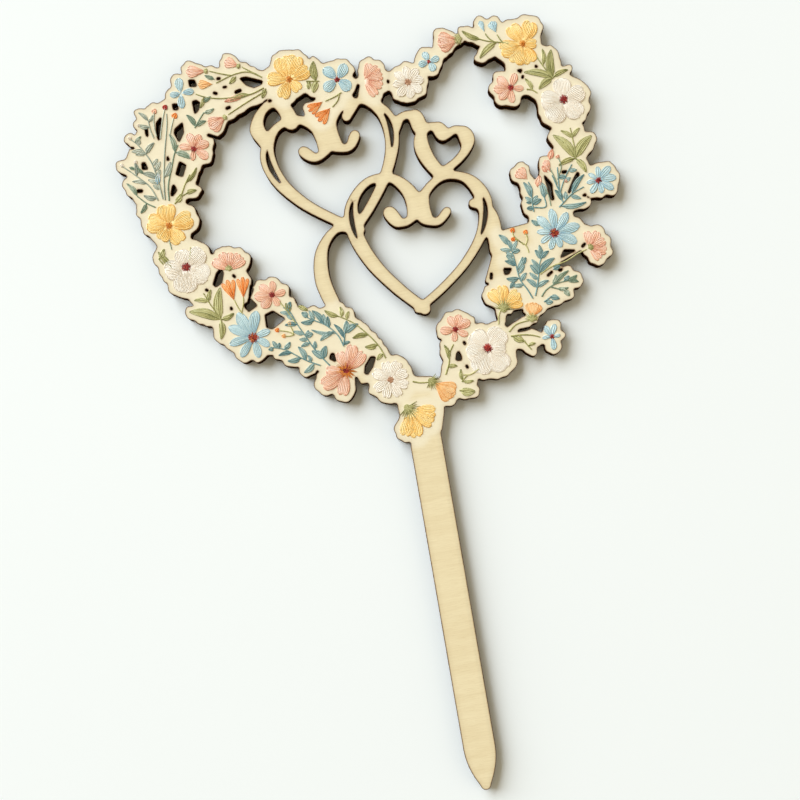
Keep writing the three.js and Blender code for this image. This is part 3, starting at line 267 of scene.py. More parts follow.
# Bare wood between the motifs, as corners
WEBS = [
    (-345, 380, -305, 400, -250, 400, -200, 375, -190, 330, -285, 300, -340, 290, -395, 290, -400,
     350),
    (-395, 350, -455, 345, -470, 310, -485, 285, -505, 250, -488, 215, -500, 190, -480, 150, -430,
     130, -400, 155, -370, 185, -352, 220, -350, 290),
    (-455, 85, -395, 75, -370, 30, -460, 30),
    (-400, -20, -350, 10, -302, 0, -300, -40, -316, -75, -300, -100, -350, -110, -385, -110, -410,
     -70),
    (-285, -85, -228, -80, -212, -110, -165, -105, -115, -108, -98, -140, -60, -185, -45, -230,
     -100, -262, -165, -235, -210, -222, -250, -205, -290, -170),
    (-120, -240, -60, -225, -60, -270, -110, -272),
    (-45, -310, -5, -280, 20, -288, 52, -284, 70, -262, 88, -215, 125, -215, 120, -300, 50, -345,
     36, -392, -34, -392, -45, -340),
    (172, -110, 200, -50, 232, -12, 280, -8, 285, 55, 312, 68, 322, 105, 352, 130, 362, 155, 420,
     150, 410, 100, 412, 35, 368, 4, 366, -25, 385, -60, 385, -78, 325, -100, 345, -120, 345,
     -150, 320, -172, 285, -180, 240, -150, 200, -140),
    (178, -130, 215, -150, 205, -178, 196, -215, 180, -222, 184, -190),
    (185, -215, 260, -212, 280, -190, 240, -192, 200, -212),
    (190, -222, 270, -232, 275, -250, 240, -265, 195, -248),
    (345, 330, 372, 330, 390, 290, 405, 270, 350, 248, 305, 250, 300, 310),
    (215, 385, 262, 392, 290, 382, 300, 345, 262, 350, 222, 378),
    (370, 185, 415, 185, 415, 140, 370, 140),
    (-120, 335, -20, 335, 10, 350, 0, 300, -45, 290, -80, 305, -100, 315),
    (35, 335, 60, 330, 60, 305, 35, 312),
    (115, 350, 125, 325, 105, 320),
    (150, 370, 170, 372, 165, 350, 150, 345),
    (285, 310, 335, 310, 335, 275, 295, 285),
    (-200, 385, -180, 390, -180, 330, -200, 330),
]

# Cut-outs right through the wood, as corners
CUTS = [
    (-348, 394, -336, 392, -333, 378, -348, 380),
    (-246, 380, -232, 380, -200, 366, -204, 360, -220, 356, -234, 363),
    (-389, 352, -378, 350, -378, 338, -388, 339),
    (-348, 350, -339, 351, -332, 343, -338, 331, -347, 323),
    (-374, 312, -392, 301, -395, 293, -388, 273, -376, 290),
    (-414, 331, -427, 320, -430, 300, -429, 283, -425, 286, -421, 305),
    (-446, 315, -451, 314, -452, 303, -450, 293, -447, 297),
    (-470, 245, -463, 245, -459, 230, -471, 231),
    (-416, 253, -413, 241, -419, 240),
    (-394, 235, -382, 225, -393, 203, -406, 210),
    (-413, 192, -409, 178, -420, 167, -423, 171, -417, 188),
    (-348, 9, -345, -3, -352, -22, -365, -28, -370, -22, -359, 0),
    (-343, -69, -338, -79, -344, -79),
    (-277, -100, -260, -95, -238, -115, -267, -131, -278, -126),
    (-295, -32, -291, -46, -301, -62, -289, -79, -309, -89, -311, -78, -303, -60),
    (-159, -200, -153, -200, -151, -219, -164, -210),
    (-81, -220, -71, -222, -80, -241, -93, -255, -99, -251, -95, -236),
    (96, -238, 100, -250, 99, -259, 87, -257, 91, -244),
    (220, -178, 239, -178, 235, -193, 211, -203, 198, -210, 205, -195),
    (217, -222, 225, -217, 262, -216, 292, -198, 275, -219, 268, -231, 258, -224, 250, -219, 238,
     -222),
    (214, -90, 231, -93, 222, -104, 214, -103),
    (330, -90, 341, -74, 367, -79),
    (320, -112, 334, -110, 327, -117),
    (326, 84, 340, 61, 338, 45, 339, 30, 335, 27, 331, 35, 330, 55),
    (363, 83, 375, 83, 373, 78, 364, 78),
    (395, 77, 398, 71, 383, 49, 368, 33, 370, 41, 384, 63),
    (404, 31, 404, 24, 394, 27),
    (308, 300, 321, 300, 316, 292),
    (348, 305, 353, 298, 346, 298),
    (-13, 327, -9, 325, -18, 300, -23, 300, -27, 307, -20, 314),
]

# Pinholes and short slits that the laser leaves between fine stalks: two ends
# and a radius
PINHOLES = [
    ((-289, 386, -286, 386), 2.2), ((-280, 367, -276, 367), 1.8), ((-301, 359, -297, 357), 2.2),
    ((-257, 353, -249, 355), 3), ((-281, 324, -276, 325), 2.4), ((-486, 190, -480, 189), 3),
    ((-497, 281, -481, 277), 1.8), ((-385, -30, -383, -32), 2), ((-326, -11, -324, -14), 2),
    ((110, -224, 111, -227), 2), ((107, -272, 108, -275), 2), ((188, -97, 186, -106), 2.2),
    ((379, -74, 384, -70), 2.2), ((300, -120, 309, -114), 2), ((318, 283, 319, 285), 2),
    ((-95, 355, -95, 361), 2.4), ((-194, 324, -192, 324), 2.2), ((49, 320, 49, 323), 1.8),
    ((-327, 277, -308, 267), 2.6),
]

# The ornament: hearts as middle, half width, tilt in degrees and the first
# point used, one half of a heart in shares of its half width, and scrolls
HEARTS = [
    ((-82, 165), 130, 8, 0), ((56, -6), 138, -8, 0), ((134, 166), 48, -18, 3),
]
HEART_HALF = [
    (0.42, 0.42), (0.27, 0.27), (0.09, 0.36), (0.1, 0.68), (0.38, 0.93), (0.74, 0.88),
    (0.97, 0.55), (0.93, 0.12), (0.68, -0.32), (0.32, -0.7), (-0.05, -1.0),
]
SCROLLS = [
    (-214, 240, -228, 272, -214, 304, -186, 318, -166, 300, -158, 274),
    (-46, 266, -30, 286, -20, 310),
    (44, 222, 62, 246, 88, 246, 96, 222),
    (176, 50, 196, 38, 208, 6, 208, -50),
    (-62, 36, -104, 46, -140, 10, -150, -50, -134, -115),
]

# Blossoms with longer golden strands round their middles: how far they spread
# in millimetres, and how many
STRANDS = {"blossom_coral_cosmos": (2.3, 40), "blossom_blue_left": (1.2, 12),
           "blossom_blue_right": (1.0, 10)}

# Spiky green cups under buds and cup-shaped blossoms: place, direction in
# degrees, and reach
CALYXES = [
    ((-26, -334), 300, 33), ((30, -288), 318, 25), ((200, -172), 75, 30), ((252, -203), 75, 20),
    ((207, 382), 181, 18), ((-286, 308), 204, 9), ((-308, 405), 172, 8), ((-242, 403), 150, 8),
    ((392, -79), 16, 12), ((-333, 2), 84, 12),
]

# Loose berries and specks on the fine stalks: ink, place and radius
LOOSE_BERRIES = [
    ("coral", (-427, 343), 5.6), ("red", (-404, 347), 5.8), ("orange", (-388, 327), 6.4),
    ("orange", (-258, -135), 4.8), ("peach", (-232, -126), 4.8), ("peach", (-247, -149), 4.4),
    ("orange", (245, -18), 5.2), ("orange", (243, -36), 4.6), ("orange", (270, -26), 5),
    ("white", (-510, 246), 4.2), ("white", (-482, 248), 4), ("white", (-485, 298), 4),
    ("white", (-463, 320), 3.6), ("white", (-440, 212), 4), ("coral", (360, 113), 4.2),
    ("coral", (337, 100), 4.2), ("coral", (368, 62), 3.6), ("coral", (315, 66), 4.4),
]

# Stalks and leaves too fine to have a node: ink, points from foot to tip, and a
# leaf's breadth, or 0 for a stalk
FINE_STROKES = [
    ("olive", (-252, 384, -268, 372), 9), ("sage", (-296, 386, -314, 397), 8),
    ("coral", (-243, 344, -284, 338), 11), ("olive", (-197, 350, -208, 332), 9),
    ("sage", (-328, 344, -309, 353), 8), ("olive", (195, -170, 188, -184, 185, -200), 0),
    ("sage", (-441, 83, -441, 73, -440, 62), 0), ("olive", (-402, 60, -404, 48, -408, 35), 0),
    ("olive", (-446, 26, -468, 62), 11), ("olive", (270, -68, 266, -52, 247, -36), 0),
    ("olive", (266, -52, 272, -40, 270, -28), 0), ("olive", (262, -50, 246, -30, 245, -20), 0),
    ("olive", (285, -115, 312, -103, 340, -98, 366, -87, 386, -81), 0),
    ("mist", (-424, 286, -416, 314, -405, 345), 0),
    ("mist", (-431, 292, -432, 318, -427, 342), 0),
    ("mist", (-404, 290, -396, 310, -389, 326), 0),
    ("olive", (-226, -150, -236, -142, -256, -136), 0),
    ("olive", (-226, -150, -228, -138, -232, -128), 0),
    ("olive", (-226, -150, -236, -151, -246, -149), 0),
    ("olive", (-244, -78, -232, -100, -218, -128), 0), ("olive", (-226, -104, -232, -84), 10),
    ("olive", (-208, -94, -190, -106), 9), ("sage", (352, 68, 364, 92, 361, 111), 0),
    ("sage", (350, 60, 345, 80, 338, 99), 0), ("sage", (330, 18, 328, 44, 317, 66), 0),
    ("coral", (309, 60, 318, 82), 12), ("coral", (343, 110, 352, 130), 12),
    ("coral", (334, 86, 326, 100), 10), ("blue", (-446, 196, -440, 218), 10),
    ("sage", (-470, 222, -480, 236), 6), ("sage", (-496, 240, -484, 234), 6),
    ("sage", (-476, 288, -462, 298), 6), ("teal", (300, -18, 286, -4), 9),
    ("teal", (252, -90, 262, -76), 9), ("teal", (232, -120, 220, -132), 8),
    ("teal", (312, -110, 328, -104), 9), ("teal", (330, -136, 342, -128), 8),
    ("olive", (130, -282, 112, -290, 96, -288), 0),
    ("olive", (-333, -60, -328, -76, -321, -92), 0),
    ("olive", (-314, -58, -316, -70, -322, -86), 0),
]

# How each kind of blade swells along its length: where it is widest, how blunt
# its tip is, and how deep its tip is notched
FORMS = {
    "round": (1.67, 0.60, 0.0),
    "notched": (1.67, 0.52, 0.13),
    "broad": (1.50, 0.48, 0.05),
    "leaf": (0.90, 0.75, 0.0),
    "bud": (2.50, 0.66, 0.05),
}

# Each ink's deep and pale tones, as screen colours
TONES = {
    "yellow": ("dea043", "feecb4"), "coral": ("cc7862", "fbdfd0"), "blue": ("7faac3", "dceef2"),
    "white": ("dccab6", "fdf9f2"), "peach": ("dc8d4c", "fcdcaa"), "orange": ("d5601c", "fbc488"),
    "teal": ("527c82", "b9cfcb"), "sage": ("667f6a", "ccd4c2"), "mist": ("7f8b80", "dde0d2"),
    "olive": ("77793e", "d8d6a4"), "red": ("5c0f14", "d25a44"), "honey": ("b8661a", "f4bc62"),
    "tan": ("94603e", "e6c4a6"),
}

# The slots of inks that have none of their own
INK_SLOTS = {"red": "orange", "honey": "orange", "tan": "peach", "mist": "sage"}

# How much of its breadth a petal keeps where it is printed, by form and for
# the blossoms whose petals stand apart
SLIM = {"round": 0.84, "notched": 0.92, "broad": 0.88}
NARROW = {
    "blossom_blue_left": 0.72, "blossom_blue_right": 0.76, "blossom_blue_edge": 0.82,
    "blossom_cosmos_low": 0.78, "blossom_white_daisy": 0.82, "blossom_coral_cosmos": 0.84,
}

# Millimetres: how far from a shape its distances are worked out, the spacing of
# their grid and of the points along a cut, the waves of the margin, and the
# half width below which a heart has no slits
FAR = 3.2
GRID = 0.2
CUT_SPACING = 0.36
WAVE_HEIGHT, WAVE_REACH = 0.27, 2.2
SMALLEST_SLIT_HEART = 10

# Millimetres: how far from the cut a face has its own row of points and how far
# these keep from any other cut, and the spacing of the points inside a face and
# how far they keep from the cut
ROW_INSET, ROW_CLEAR = 0.42, 0.38
FACE_SPACING, FACE_CLEAR = 0.85, 0.75

# Millimetres that a stroke's middle stands over the face or pad below it
STROKE_RISE = 0.02

# Points along one side of a blade and along a slit, the part of a heart's half
# that a slit takes, and the radius of a berry that the margin follows
PAD_STEPS = 11
SLIT_STEPS = 14
SLIT_RUN = (0.58, 0.72)
BERRY_RADIUS = 7.3

# A pad's rings from its foot up: their share of its outline and of its height
PAD_RINGS = ((1.0, 0.0), (0.99, 0.55), (0.82, 0.88), (0.45, 1.0))

# The numbers of a ply's two materials, and the sides of a thread-like stroke
FACE, WALL = 0, 1
THREAD_SIDES = 5

# Degrees from one stamen to the next, so that they fill a round middle evenly
GOLDEN_ANGLE = 137.508

# Where the light falls from on the printed face, for the tones of the ink
LIGHT = np.array([-0.6, 0.8])

# Metres: half the width of the ground, how far behind the topper the card lies
# and how far below it the floor, and how far off the soft lamps stand and how wide
# they are
SHEET = 3
CARD_GAP, FLOOR_GAP = 0.00005, 0.0005
LAMP_DISTANCE = 6.4
KEY_WIDTH, FILL_WIDTH = 7, 5

# How bright the surround is where the camera looks past the ground
SURROUND = 0.9


def tint(shade):
    """Turns a screen colour written in hexadecimal into linear values."""
    parts = [int(shade[index:index + 2], 16) / 255 for index in (0, 2, 4)]
    return tuple(part / 12.92 if part <= 0.04045 else ((part + 0.055) / 1.055) ** 2.4
                 for part in parts)


def length(name, description, default, least=0):
    """A length that a user may change, in metres."""
    return bpy.props.FloatProperty(name=name, description=description, default=default, min=least,
                                   precision=5, unit="LENGTH", subtype="DISTANCE")


def colour(name, description, shade):
    """A colour that a user may change."""
    return bpy.props.FloatVectorProperty(name=name, description=description, default=tint(shade),
                                         size=3, min=0, max=1, subtype="COLOR")


def strength(name, description, default, unit="NONE"):
    """A power or another number above nothing that a user may change."""
    return bpy.props.FloatProperty(name=name, description=description, default=default, min=0,
                                   unit=unit)


class WoodSettings(bpy.types.PropertyGroup):
    """Sizes and colours of the plywood."""
    wreath_width: length("Wreath width", "Across the flower wreath", 0.130)
    height_above_cake: length("Height", "From the cake to the wreath's middle", 0.081)
    stake_width: length("Stake width", "Across the flat stake", 0.0085)
    stake_depth: length("Stake depth", "How far the stake goes into the cake", 0.065)
    tip_length: length("Tip length", "How long the stake tapers", 0.0115)
    tip_radius: length("Tip radius", "Radius of the stake's point", 0.0014)
    veneer: length("Veneer", "Thickness of each outer ply", 0.00075)
    core: length("Core", "Thickness of the middle ply", 0.0015)
    margin: length("Laser margin", "Bare wood left round the print", 0.0013)
    stalk: length("Stalk width", "Width of a stalk that the margin follows", 0.0007)
    middle: length("Middle radius", "Radius of a blossom's middle", 0.00095)
    thick_stroke: length("Thick stroke", "Ornament along the pen", 0.0042)
    thin_stroke: length("Thin stroke", "Ornament across the pen", 0.0022)
    slit: length("Slit width", "Widest part of the slits in the hearts", 0.0009)
    chamfer: length("Burnt edge", "Width of the singed edge", 0.00013)
    bare: colour("Bare wood", "Face of the bare veneer", "eedeb8")
    grain: colour("Grain", "Darker bands and fibres", "dcc79c")
    cream: colour("Primed wood", "Face under and round the print", "f4e9cf")
    toast: colour("Toast", "Face next to the cut", "7d5426")
    burnt: colour("Burnt wall", "Lighter streaks of the cut veneers", "6a3f20")
    soot: colour("Soot", "Darker streaks of the cut veneers", "241208")
    char: colour("Char", "Cut wall of the core", "0d0704")


class PrintSettings(bpy.types.PropertyGroup):
    """Sizes and colours of the raised print."""
    pad: length("Pad height", "How far a printed pad stands off the wood", 0.00007)
    thread: length("Thread radius", "Radius of a thread-like stroke", 0.00014)
    pitch: length("Thread pitch", "Distance between strokes", 0.00046)
    stalk: length("Stalk radius", "Radius of a printed stalk", 0.00022)
    leaflet: length("Leaflet", "Length of the small leaves between the others", 0.0026)
    speck: length("Speck radius", "Radius of a stamen's head", 0.00021)
    yellow: colour("Yellow", "Yellow ink", "fed581")
    coral: colour("Coral", "Coral ink", "f2bf9e")
    blue: colour("Blue", "Blue ink", "b5cfd4")
    white: colour("White", "White ink", "f2e6d5")
    peach: colour("Peach", "Peach ink", "f8be7a")
    orange: colour("Orange", "Orange ink", "f59038")
    teal: colour("Teal", "Blue-green ink", "8ea8a3")
    sage: colour("Sage", "Grey-green ink", "909d85")
    mist: colour("Mist", "Pale grey-green ink", "b4baa8")
    olive: colour("Olive", "Yellow-green ink", "bcb57a")
    red: colour("Red", "Ink of the dark middles", "ab2f2a")
    honey: colour("Honey", "Ink of the yellow middles", "df8a28")
    tan: colour("Tan", "Ink of the pale middles", "c99a78")


class StageSettings(bpy.types.PropertyGroup):
    """Ground, light and camera."""
    ground: colour("Ground", "Pale ground", "f5f9fc")
    lamp: colour("Lamp", "Colour of the soft lamp", "f0f9ff")
    air: colour("Air", "Colour of the light from all round", "ffefc8")
    sky: strength("Sky", "Strength of the light from all round", 0.36)
    key: strength("Key light", "Power of the soft lamp", 965, "POWER")
    fill: strength("Fill light", "Power of the warm light from the right", 55, "POWER")
    warmth: colour("Warmth", "Colour of the light from the right", "ffecd0")
    back: strength("Back light", "Light on the topper's back", 1.1)
    turn: bpy.props.FloatProperty(name="Turn", description="How far the topper is turned",
                                  default=math.radians(9.88), subtype="ANGLE")
    distance: length("Distance", "From the camera to the topper's front", 0.300)
    aim_x: length("Aim X", "Where the camera looks, across", -0.00074, -1)
    aim_z: length("Aim Z", "Where the camera looks, upwards", 0.0178, -1)
    lens: strength("Lens", "Focal length in millimetres", 51.4)


def millimetres(share, wood):
    """A length of the tables in millimetres."""
    return share / 1000 * (wood.wreath_width / MM)


def place(share, wood):
    """A place of the tables as x and z in millimetres."""
    return np.array([millimetres(share[0], wood),
                     wood.height_above_cake / MM + millimetres(share[1], wood)])


def grouped(run, count=2):
    """A run of numbers in groups of the same size."""
    return [run[first:first + count] for first in range(0, len(run), count)]


def places(run, wood):
    """The places of a run of numbers."""
    return [place(share, wood) for share in grouped(run)]


def direction(degrees):
    turn = math.radians(degrees)
    return np.array([math.cos(turn), math.sin(turn)])


def lengths_along(points):
    """How far along a line each of its points lies."""
    return np.concatenate([[0], np.cumsum(np.hypot(*np.diff(points, axis=0).T))])


def at_lengths(spots, lengths, points):
    """The places at the given lengths along a line."""
    return np.stack([np.interp(spots, lengths, points[:, axis]) for axis in (0, 1)], axis=-1)


def spline(points, shares):
    """A smooth curve through all the points, at the given shares of its spans."""
    points = np.array(points, dtype=float)
    last = len(points) - 1
    spans = np.clip(np.floor(np.asarray(shares) * last).astype(int), 0, last - 1)
    step = (np.asarray(shares) * last - spans)[:, None]
    before, start = points[np.maximum(spans - 1, 0)], points[spans]
    end, behind = points[spans + 1], points[np.minimum(spans + 2, last)]
    leave, arrive = (end - before) / 2, (behind - start) / 2
    cubic = (2 * start - 2 * end + leave + arrive) * step ** 3
    square = (3 * end - 3 * start - 2 * leave - arrive) * step ** 2
    return cubic + square + leave * step + start


class Blade:
    """A petal, leaf or bud between two places, in millimetres."""

    def __init__(self, base, tip, breadth, form, notched=True, sway=0.0):
        self.base = base
        self.line = tip - base
        self.breadth = breadth
        way = self.line / np.hypot(*self.line)
        self.across = np.array([-way[1], way[0]])
        self.lean, self.blunt, notch = FORMS[form]
        self.notch = notch if notched else 0
        self.sway = sway * np.hypot(*self.line)

    def half(self, share):
        """Half the breadth at a share of the length."""
        swell = np.sin(np.pi * np.clip(share, 0, 1) ** self.lean)
        return 0.5 * self.breadth * np.maximum(swell, 0) ** self.blunt

    def at(self, share, side):
        """The place at a share of the length and of the half breadth."""
        reach = self.half(share) * side
        dip = self.notch * np.exp(-(reach / (0.17 * self.breadth)) ** 2) * share ** 6
        bend = self.sway * np.sin(np.pi * share)
        return self.base + np.outer(share - dip, self.line) + np.outer(reach + bend, self.across)

    def rim(self, steps):
        """The outline, anticlockwise from the base."""
        shares = np.sin(np.linspace(0, np.pi / 2, steps))
        up = self.at(shares, -1)
        down = self.at(shares[1:-1][::-1], 1)
        return np.concatenate([up, down])


def petal_blades(blossom, wood, printed=True):
    """A blossom's petals, slimmer and uneven where they are printed on the wood."""
    breadth = blossom.breadth
    if printed:
        breadth *= NARROW.get(blossom.name, SLIM[blossom.form])
    start = place(blossom.middle, wood)
    x, z = (part / 1000 for part in blossom.middle)
    blades = []
    for number, (degrees, reach) in enumerate(grouped(blossom.petals)):
        size = millimetres(reach, wood)
        uneven = math.sin(7.3 * number + 31 * x + 17 * z) if printed else 0
        blades.append(Blade(start, start + direction(degrees) * size,
                            size * breadth * (1 + 0.09 * uneven), blossom.form, printed,
                            0.045 * uneven))
    return blades


def bud_blade(bud, wood):
    start = place(bud.base, wood)
    tip = start + direction(bud.degrees) * millimetres(bud.size, wood)
    return Blade(start, tip, millimetres(bud.breadth, wood), "bud")


def bud_petal(whole, hand, spread, share):
    """One of a bud's three petals: the middle one, or the one on either hand."""
    tip = whole.base + whole.line * (1 - 0.08 * abs(hand))
    return Blade(whole.base, tip + whole.across * hand * whole.breadth * spread,
                 whole.breadth * share, "bud")


def sprig_parts(stalks, wood, sway=0.0):
    """A sprig's stalks as runs of points, and its leaves as blades, bent by turns."""
    curves, blades = [], []
    for points, leaves in stalks:
        spots = places(points, wood)
        curves.append(spline(spots, np.linspace(0, 1, 5 * (len(spots) - 1) + 1)))
        for along, x, z, breadth in grouped(leaves, 4):
            start = spline(spots, [along / 1000])[0]
            blades.append(Blade(start, place((x, z), wood), millimetres(breadth, wood), "leaf",
                                sway=sway * (1 if len(blades) % 2 else -1)))
    return curves, blades


def leaflets(stalk, sizes, printed, wood_shape):
    """Small leaves on either side of a stalk, where the wood has room for them."""
    found = []
    lengths = lengths_along(stalk)
    size = sizes.leaflet / MM
    step = size * 0.62
    for number, spot in enumerate(np.arange(0.6, lengths[-1] / step)):
        foot, ahead = at_lengths([spot * step, spot * step + 0.3], lengths, stalk)
        way = math.degrees(math.atan2(ahead[1] - foot[1], ahead[0] - foot[0]))
        for hand in (1, -1):
            turn = direction(way + hand * (38 + 9 * (number % 3)))
            tip = foot + turn * size * (0.85 + 0.3 * ((number + hand) % 2))
            checks = np.array([foot + (tip - foot) * 0.7, tip, tip + turn * 0.3])
            if min(printed.at(checks)) > 0.42 and max(wood_shape.at(checks)) < -0.45:
                found.append(Blade(foot, tip, size * 0.40, "leaf"))
                printed.add_polygon(found[-1].rim(PAD_STEPS))
    return found


def beside(x, z, start, end):
    """For places on a grid: the share of a line they lie beside, and how far off in x and z."""
    ex, ez, px, pz = *(end - start), x - start[0], z - start[1]
    share = np.clip((px * ex + pz * ez) / max(ex * ex + ez * ez, 1e-12), 0, 1)
    return share, px - ex * share, pz - ez * share


class Field:
    """Distances to a flat shape on a grid, in millimetres, negative inside."""

    def __init__(self, low, high):
        self.xs = np.arange(low[0], high[0], GRID)
        self.zs = np.arange(low[1], high[1], GRID)
        self.values = np.full((len(self.xs), len(self.zs)), FAR)

    def window(self, points, reach):
        """The part of the grid within reach of some points, and its places."""
        low, high = points.min(axis=0) - reach, points.max(axis=0) + reach
        columns = slice(*np.searchsorted(self.xs, (low[0], high[0])))
        rows = slice(*np.searchsorted(self.zs, (low[1], high[1])))
        x, z = np.meshgrid(self.xs[columns], self.zs[rows], indexing="ij")
        return (columns, rows), x, z

    def add_polygon(self, corners):
        corners = np.asarray(corners, dtype=float)
        area, x, z = self.window(corners, FAR)
        nearest = np.full(x.shape, np.inf)
        inside = np.zeros(x.shape, dtype=bool)
        for start, end in zip(corners, np.roll(corners, -1, axis=0)):
            _, off_x, off_z = beside(x, z, start, end)
            nearest = np.minimum(nearest, off_x ** 2 + off_z ** 2)
            if start[1] != end[1]:
                across = (end[0] - start[0]) * (z - start[1]) / (end[1] - start[1])
                inside ^= ((z >= start[1]) != (z >= end[1])) & (x - start[0] < across)
        distances = np.where(inside, -1, 1) * np.sqrt(nearest)
        self.values[area] = np.minimum(self.values[area], distances)

    def add_stroke(self, points, radii):
        points = np.asarray(points, dtype=float)
        area, x, z = self.window(points, FAR + np.max(radii))
        for start, end, first, last in zip(points, points[1:], radii, radii[1:]):
            share, off_x, off_z = beside(x, z, start, end)
            distances = np.hypot(off_x, off_z) - (first + (last - first) * share)
            self.values[area] = np.minimum(self.values[area], distances)

    def soften(self, rounds):
        """Rounds sharp corners, as the width of the laser's beam does."""
        for _ in range(rounds):
            values = np.pad(self.values, 1, mode="edge")
            across = (values[:-2] + 2 * values[1:-1] + values[2:]) / 4
            self.values = (across[:, :-2] + 2 * across[:, 1:-1] + across[:, 2:]) / 4

    def at(self, points):
        """The distances at any places, from the four grid points round each."""
        column = (points[:, 0] - self.xs[0]) / GRID
        row = (points[:, 1] - self.zs[0]) / GRID
        i = np.clip(column.astype(int), 0, len(self.xs) - 2)
        j = np.clip(row.astype(int), 0, len(self.zs) - 2)
        u, v = column - i, row - j
        low = self.values[i, j] * (1 - u) + self.values[i + 1, j] * u
        high = self.values[i, j + 1] * (1 - u) + self.values[i + 1, j + 1] * u
        return low * (1 - v) + high * v

    def outlines(self):
        """The loops where the distance is nothing, with the shape on their left."""
        inside = self.values < 0
        cells = inside[:-1, :-1].astype(int) + inside[1:, :-1] + inside[:-1, 1:] + inside[1:, 1:]
        following = {}
        for i, j in zip(*np.nonzero((cells > 0) & (cells < 4))):
            corners = (inside[i, j], inside[i + 1, j], inside[i + 1, j + 1], inside[i, j + 1])
            sides = ((0, i, j), (1, i + 1, j), (0, i, j + 1), (1, i, j))
            for side in range(4):
                if corners[side] and not corners[(side + 1) % 4]:
                    back = next(step for step in (1, 2, 3) if not corners[(side - step) % 4]
                                and corners[(side - step + 1) % 4])
                    following[sides[side]] = sides[(side - back) % 4]
        loops = []
        while following:
            start = next(iter(following))
            loop, here = [], start
            while here in following:
                loop.append(self.crossing(here))
                here = following.pop(here)
            loops.append(np.array(loop))
        return loops

    def crossing(self, side):
        """Where the distance is nothing on one side of a grid cell."""
        upright, i, j = side
        first = self.values[i, j]
        second = self.values[i, j + 1] if upright else self.values[i + 1, j]
        share = first / (first - second) * GRID
        return (self.xs[i] + (0 if upright else share), self.zs[j] + (share if upright else 0))


def evened(loop, spacing):
    """The loop's points, moved so that they are evenly spaced."""
    closed = np.concatenate([loop, loop[:1]])
    lengths = lengths_along(closed)
    count = max(12, int(lengths[-1] / spacing))
    return at_lengths(np.linspace(0, lengths[-1], count, endpoint=False), lengths, closed)


def inset(loop, distance):
    """The loop moved towards the wood on its left."""
    tangent = np.roll(loop, -1, axis=0) - np.roll(loop, 1, axis=0)
    normal = np.stack([-tangent[:, 1], tangent[:, 0]], axis=1)
    return loop + normal / np.maximum(np.hypot(*normal.T), 1e-9)[:, None] * distance


def print_field(wood, low, high):
    """Distances to all that is printed."""
    field = Field(low, high)
    blades = [bud_blade(bud, wood) for bud in BUDS]
    dots = [(spot, millimetres(BERRY_RADIUS, wood)) for spot in places(BERRIES, wood)]
    for blossom in BLOSSOMS:
        blades += petal_blades(blossom, wood, False)
        dots.append((place(blossom.middle, wood), wood.middle / MM))
    for _, _, stalks in SPRIGS:
        curves, leaves = sprig_parts(stalks, wood)
        blades += leaves
        for curve in curves:
            field.add_stroke(curve, [wood.stalk / MM / 2] * len(curve))
    for middle, radius in dots:
        field.add_stroke([middle] * 2, [radius] * 2)
    for blade in blades:
        field.add_polygon(blade.rim(PAD_STEPS))
    return field


def stake_outline(wood):
    """The stake: straight sides that bend in towards a round point."""
    half, tip = wood.stake_width / MM / 2, -wood.stake_depth / MM
    radius = wood.tip_radius / MM
    shoulder, middle = tip + wood.tip_length / MM, tip + radius
    top = place((0, -370), wood)[1]
    start, pull = np.array((half, shoulder)), np.array((half, (shoulder + middle) / 2))
    end = np.array((radius, middle))
    right = [(1 - share) ** 2 * start + 2 * share * (1 - share) * pull + share ** 2 * end
             for share in np.linspace(0, 1, 9)]
    point = [np.array([0, middle]) + direction(-15 * step) * radius for step in range(1, 12)]
    left = [spot * (-1, 1) for spot in right[::-1]]
    return np.array([(half, top), *right, *point, *left, (-half, top)])


def heart_halves(heart, wood):
    """The two halves of a heart as points in millimetres."""
    middle, half_width, tilt, first = heart
    start, size = place(middle, wood), millimetres(half_width, wood)
    along, up = direction(tilt), direction(tilt + 90)
    return [[start + (hand * x * along + z * up) * size for x, z in HEART_HALF[first:]]
            for hand in (1, -1)]


def pen_radii(points, wood):
    """Half widths of a broad pen's stroke: thick along the pen, thin across it."""
    tangents = np.gradient(points, axis=0)
    tangents /= np.hypot(*tangents.T)[:, None]
    along = np.abs(tangents @ direction(100)) ** 4
    return (wood.thin_stroke + (wood.thick_stroke - wood.thin_stroke) * along) / MM / 2


def scallop(field, printed):
    """Gives the margin round the print small waves, and keeps it within the part's box."""
    x, z = np.meshgrid(field.xs, field.zs, indexing="ij")
    waves = np.sin(1.35 * x + 1.4 * np.sin(0.5 * z)) * np.sin(1.45 * z + 1.2 * np.sin(0.55 * x))
    near = np.clip((WAVE_REACH - printed.values) / 0.8, 0, 1)
    (left, _, _), (right, _, top) = cad_box
    sides = np.maximum(x - right / MM, left / MM - x)
    field.values = np.maximum(field.values + near * WAVE_HEIGHT * waves,
                              np.maximum(sides, z - top / MM) + 0.03)


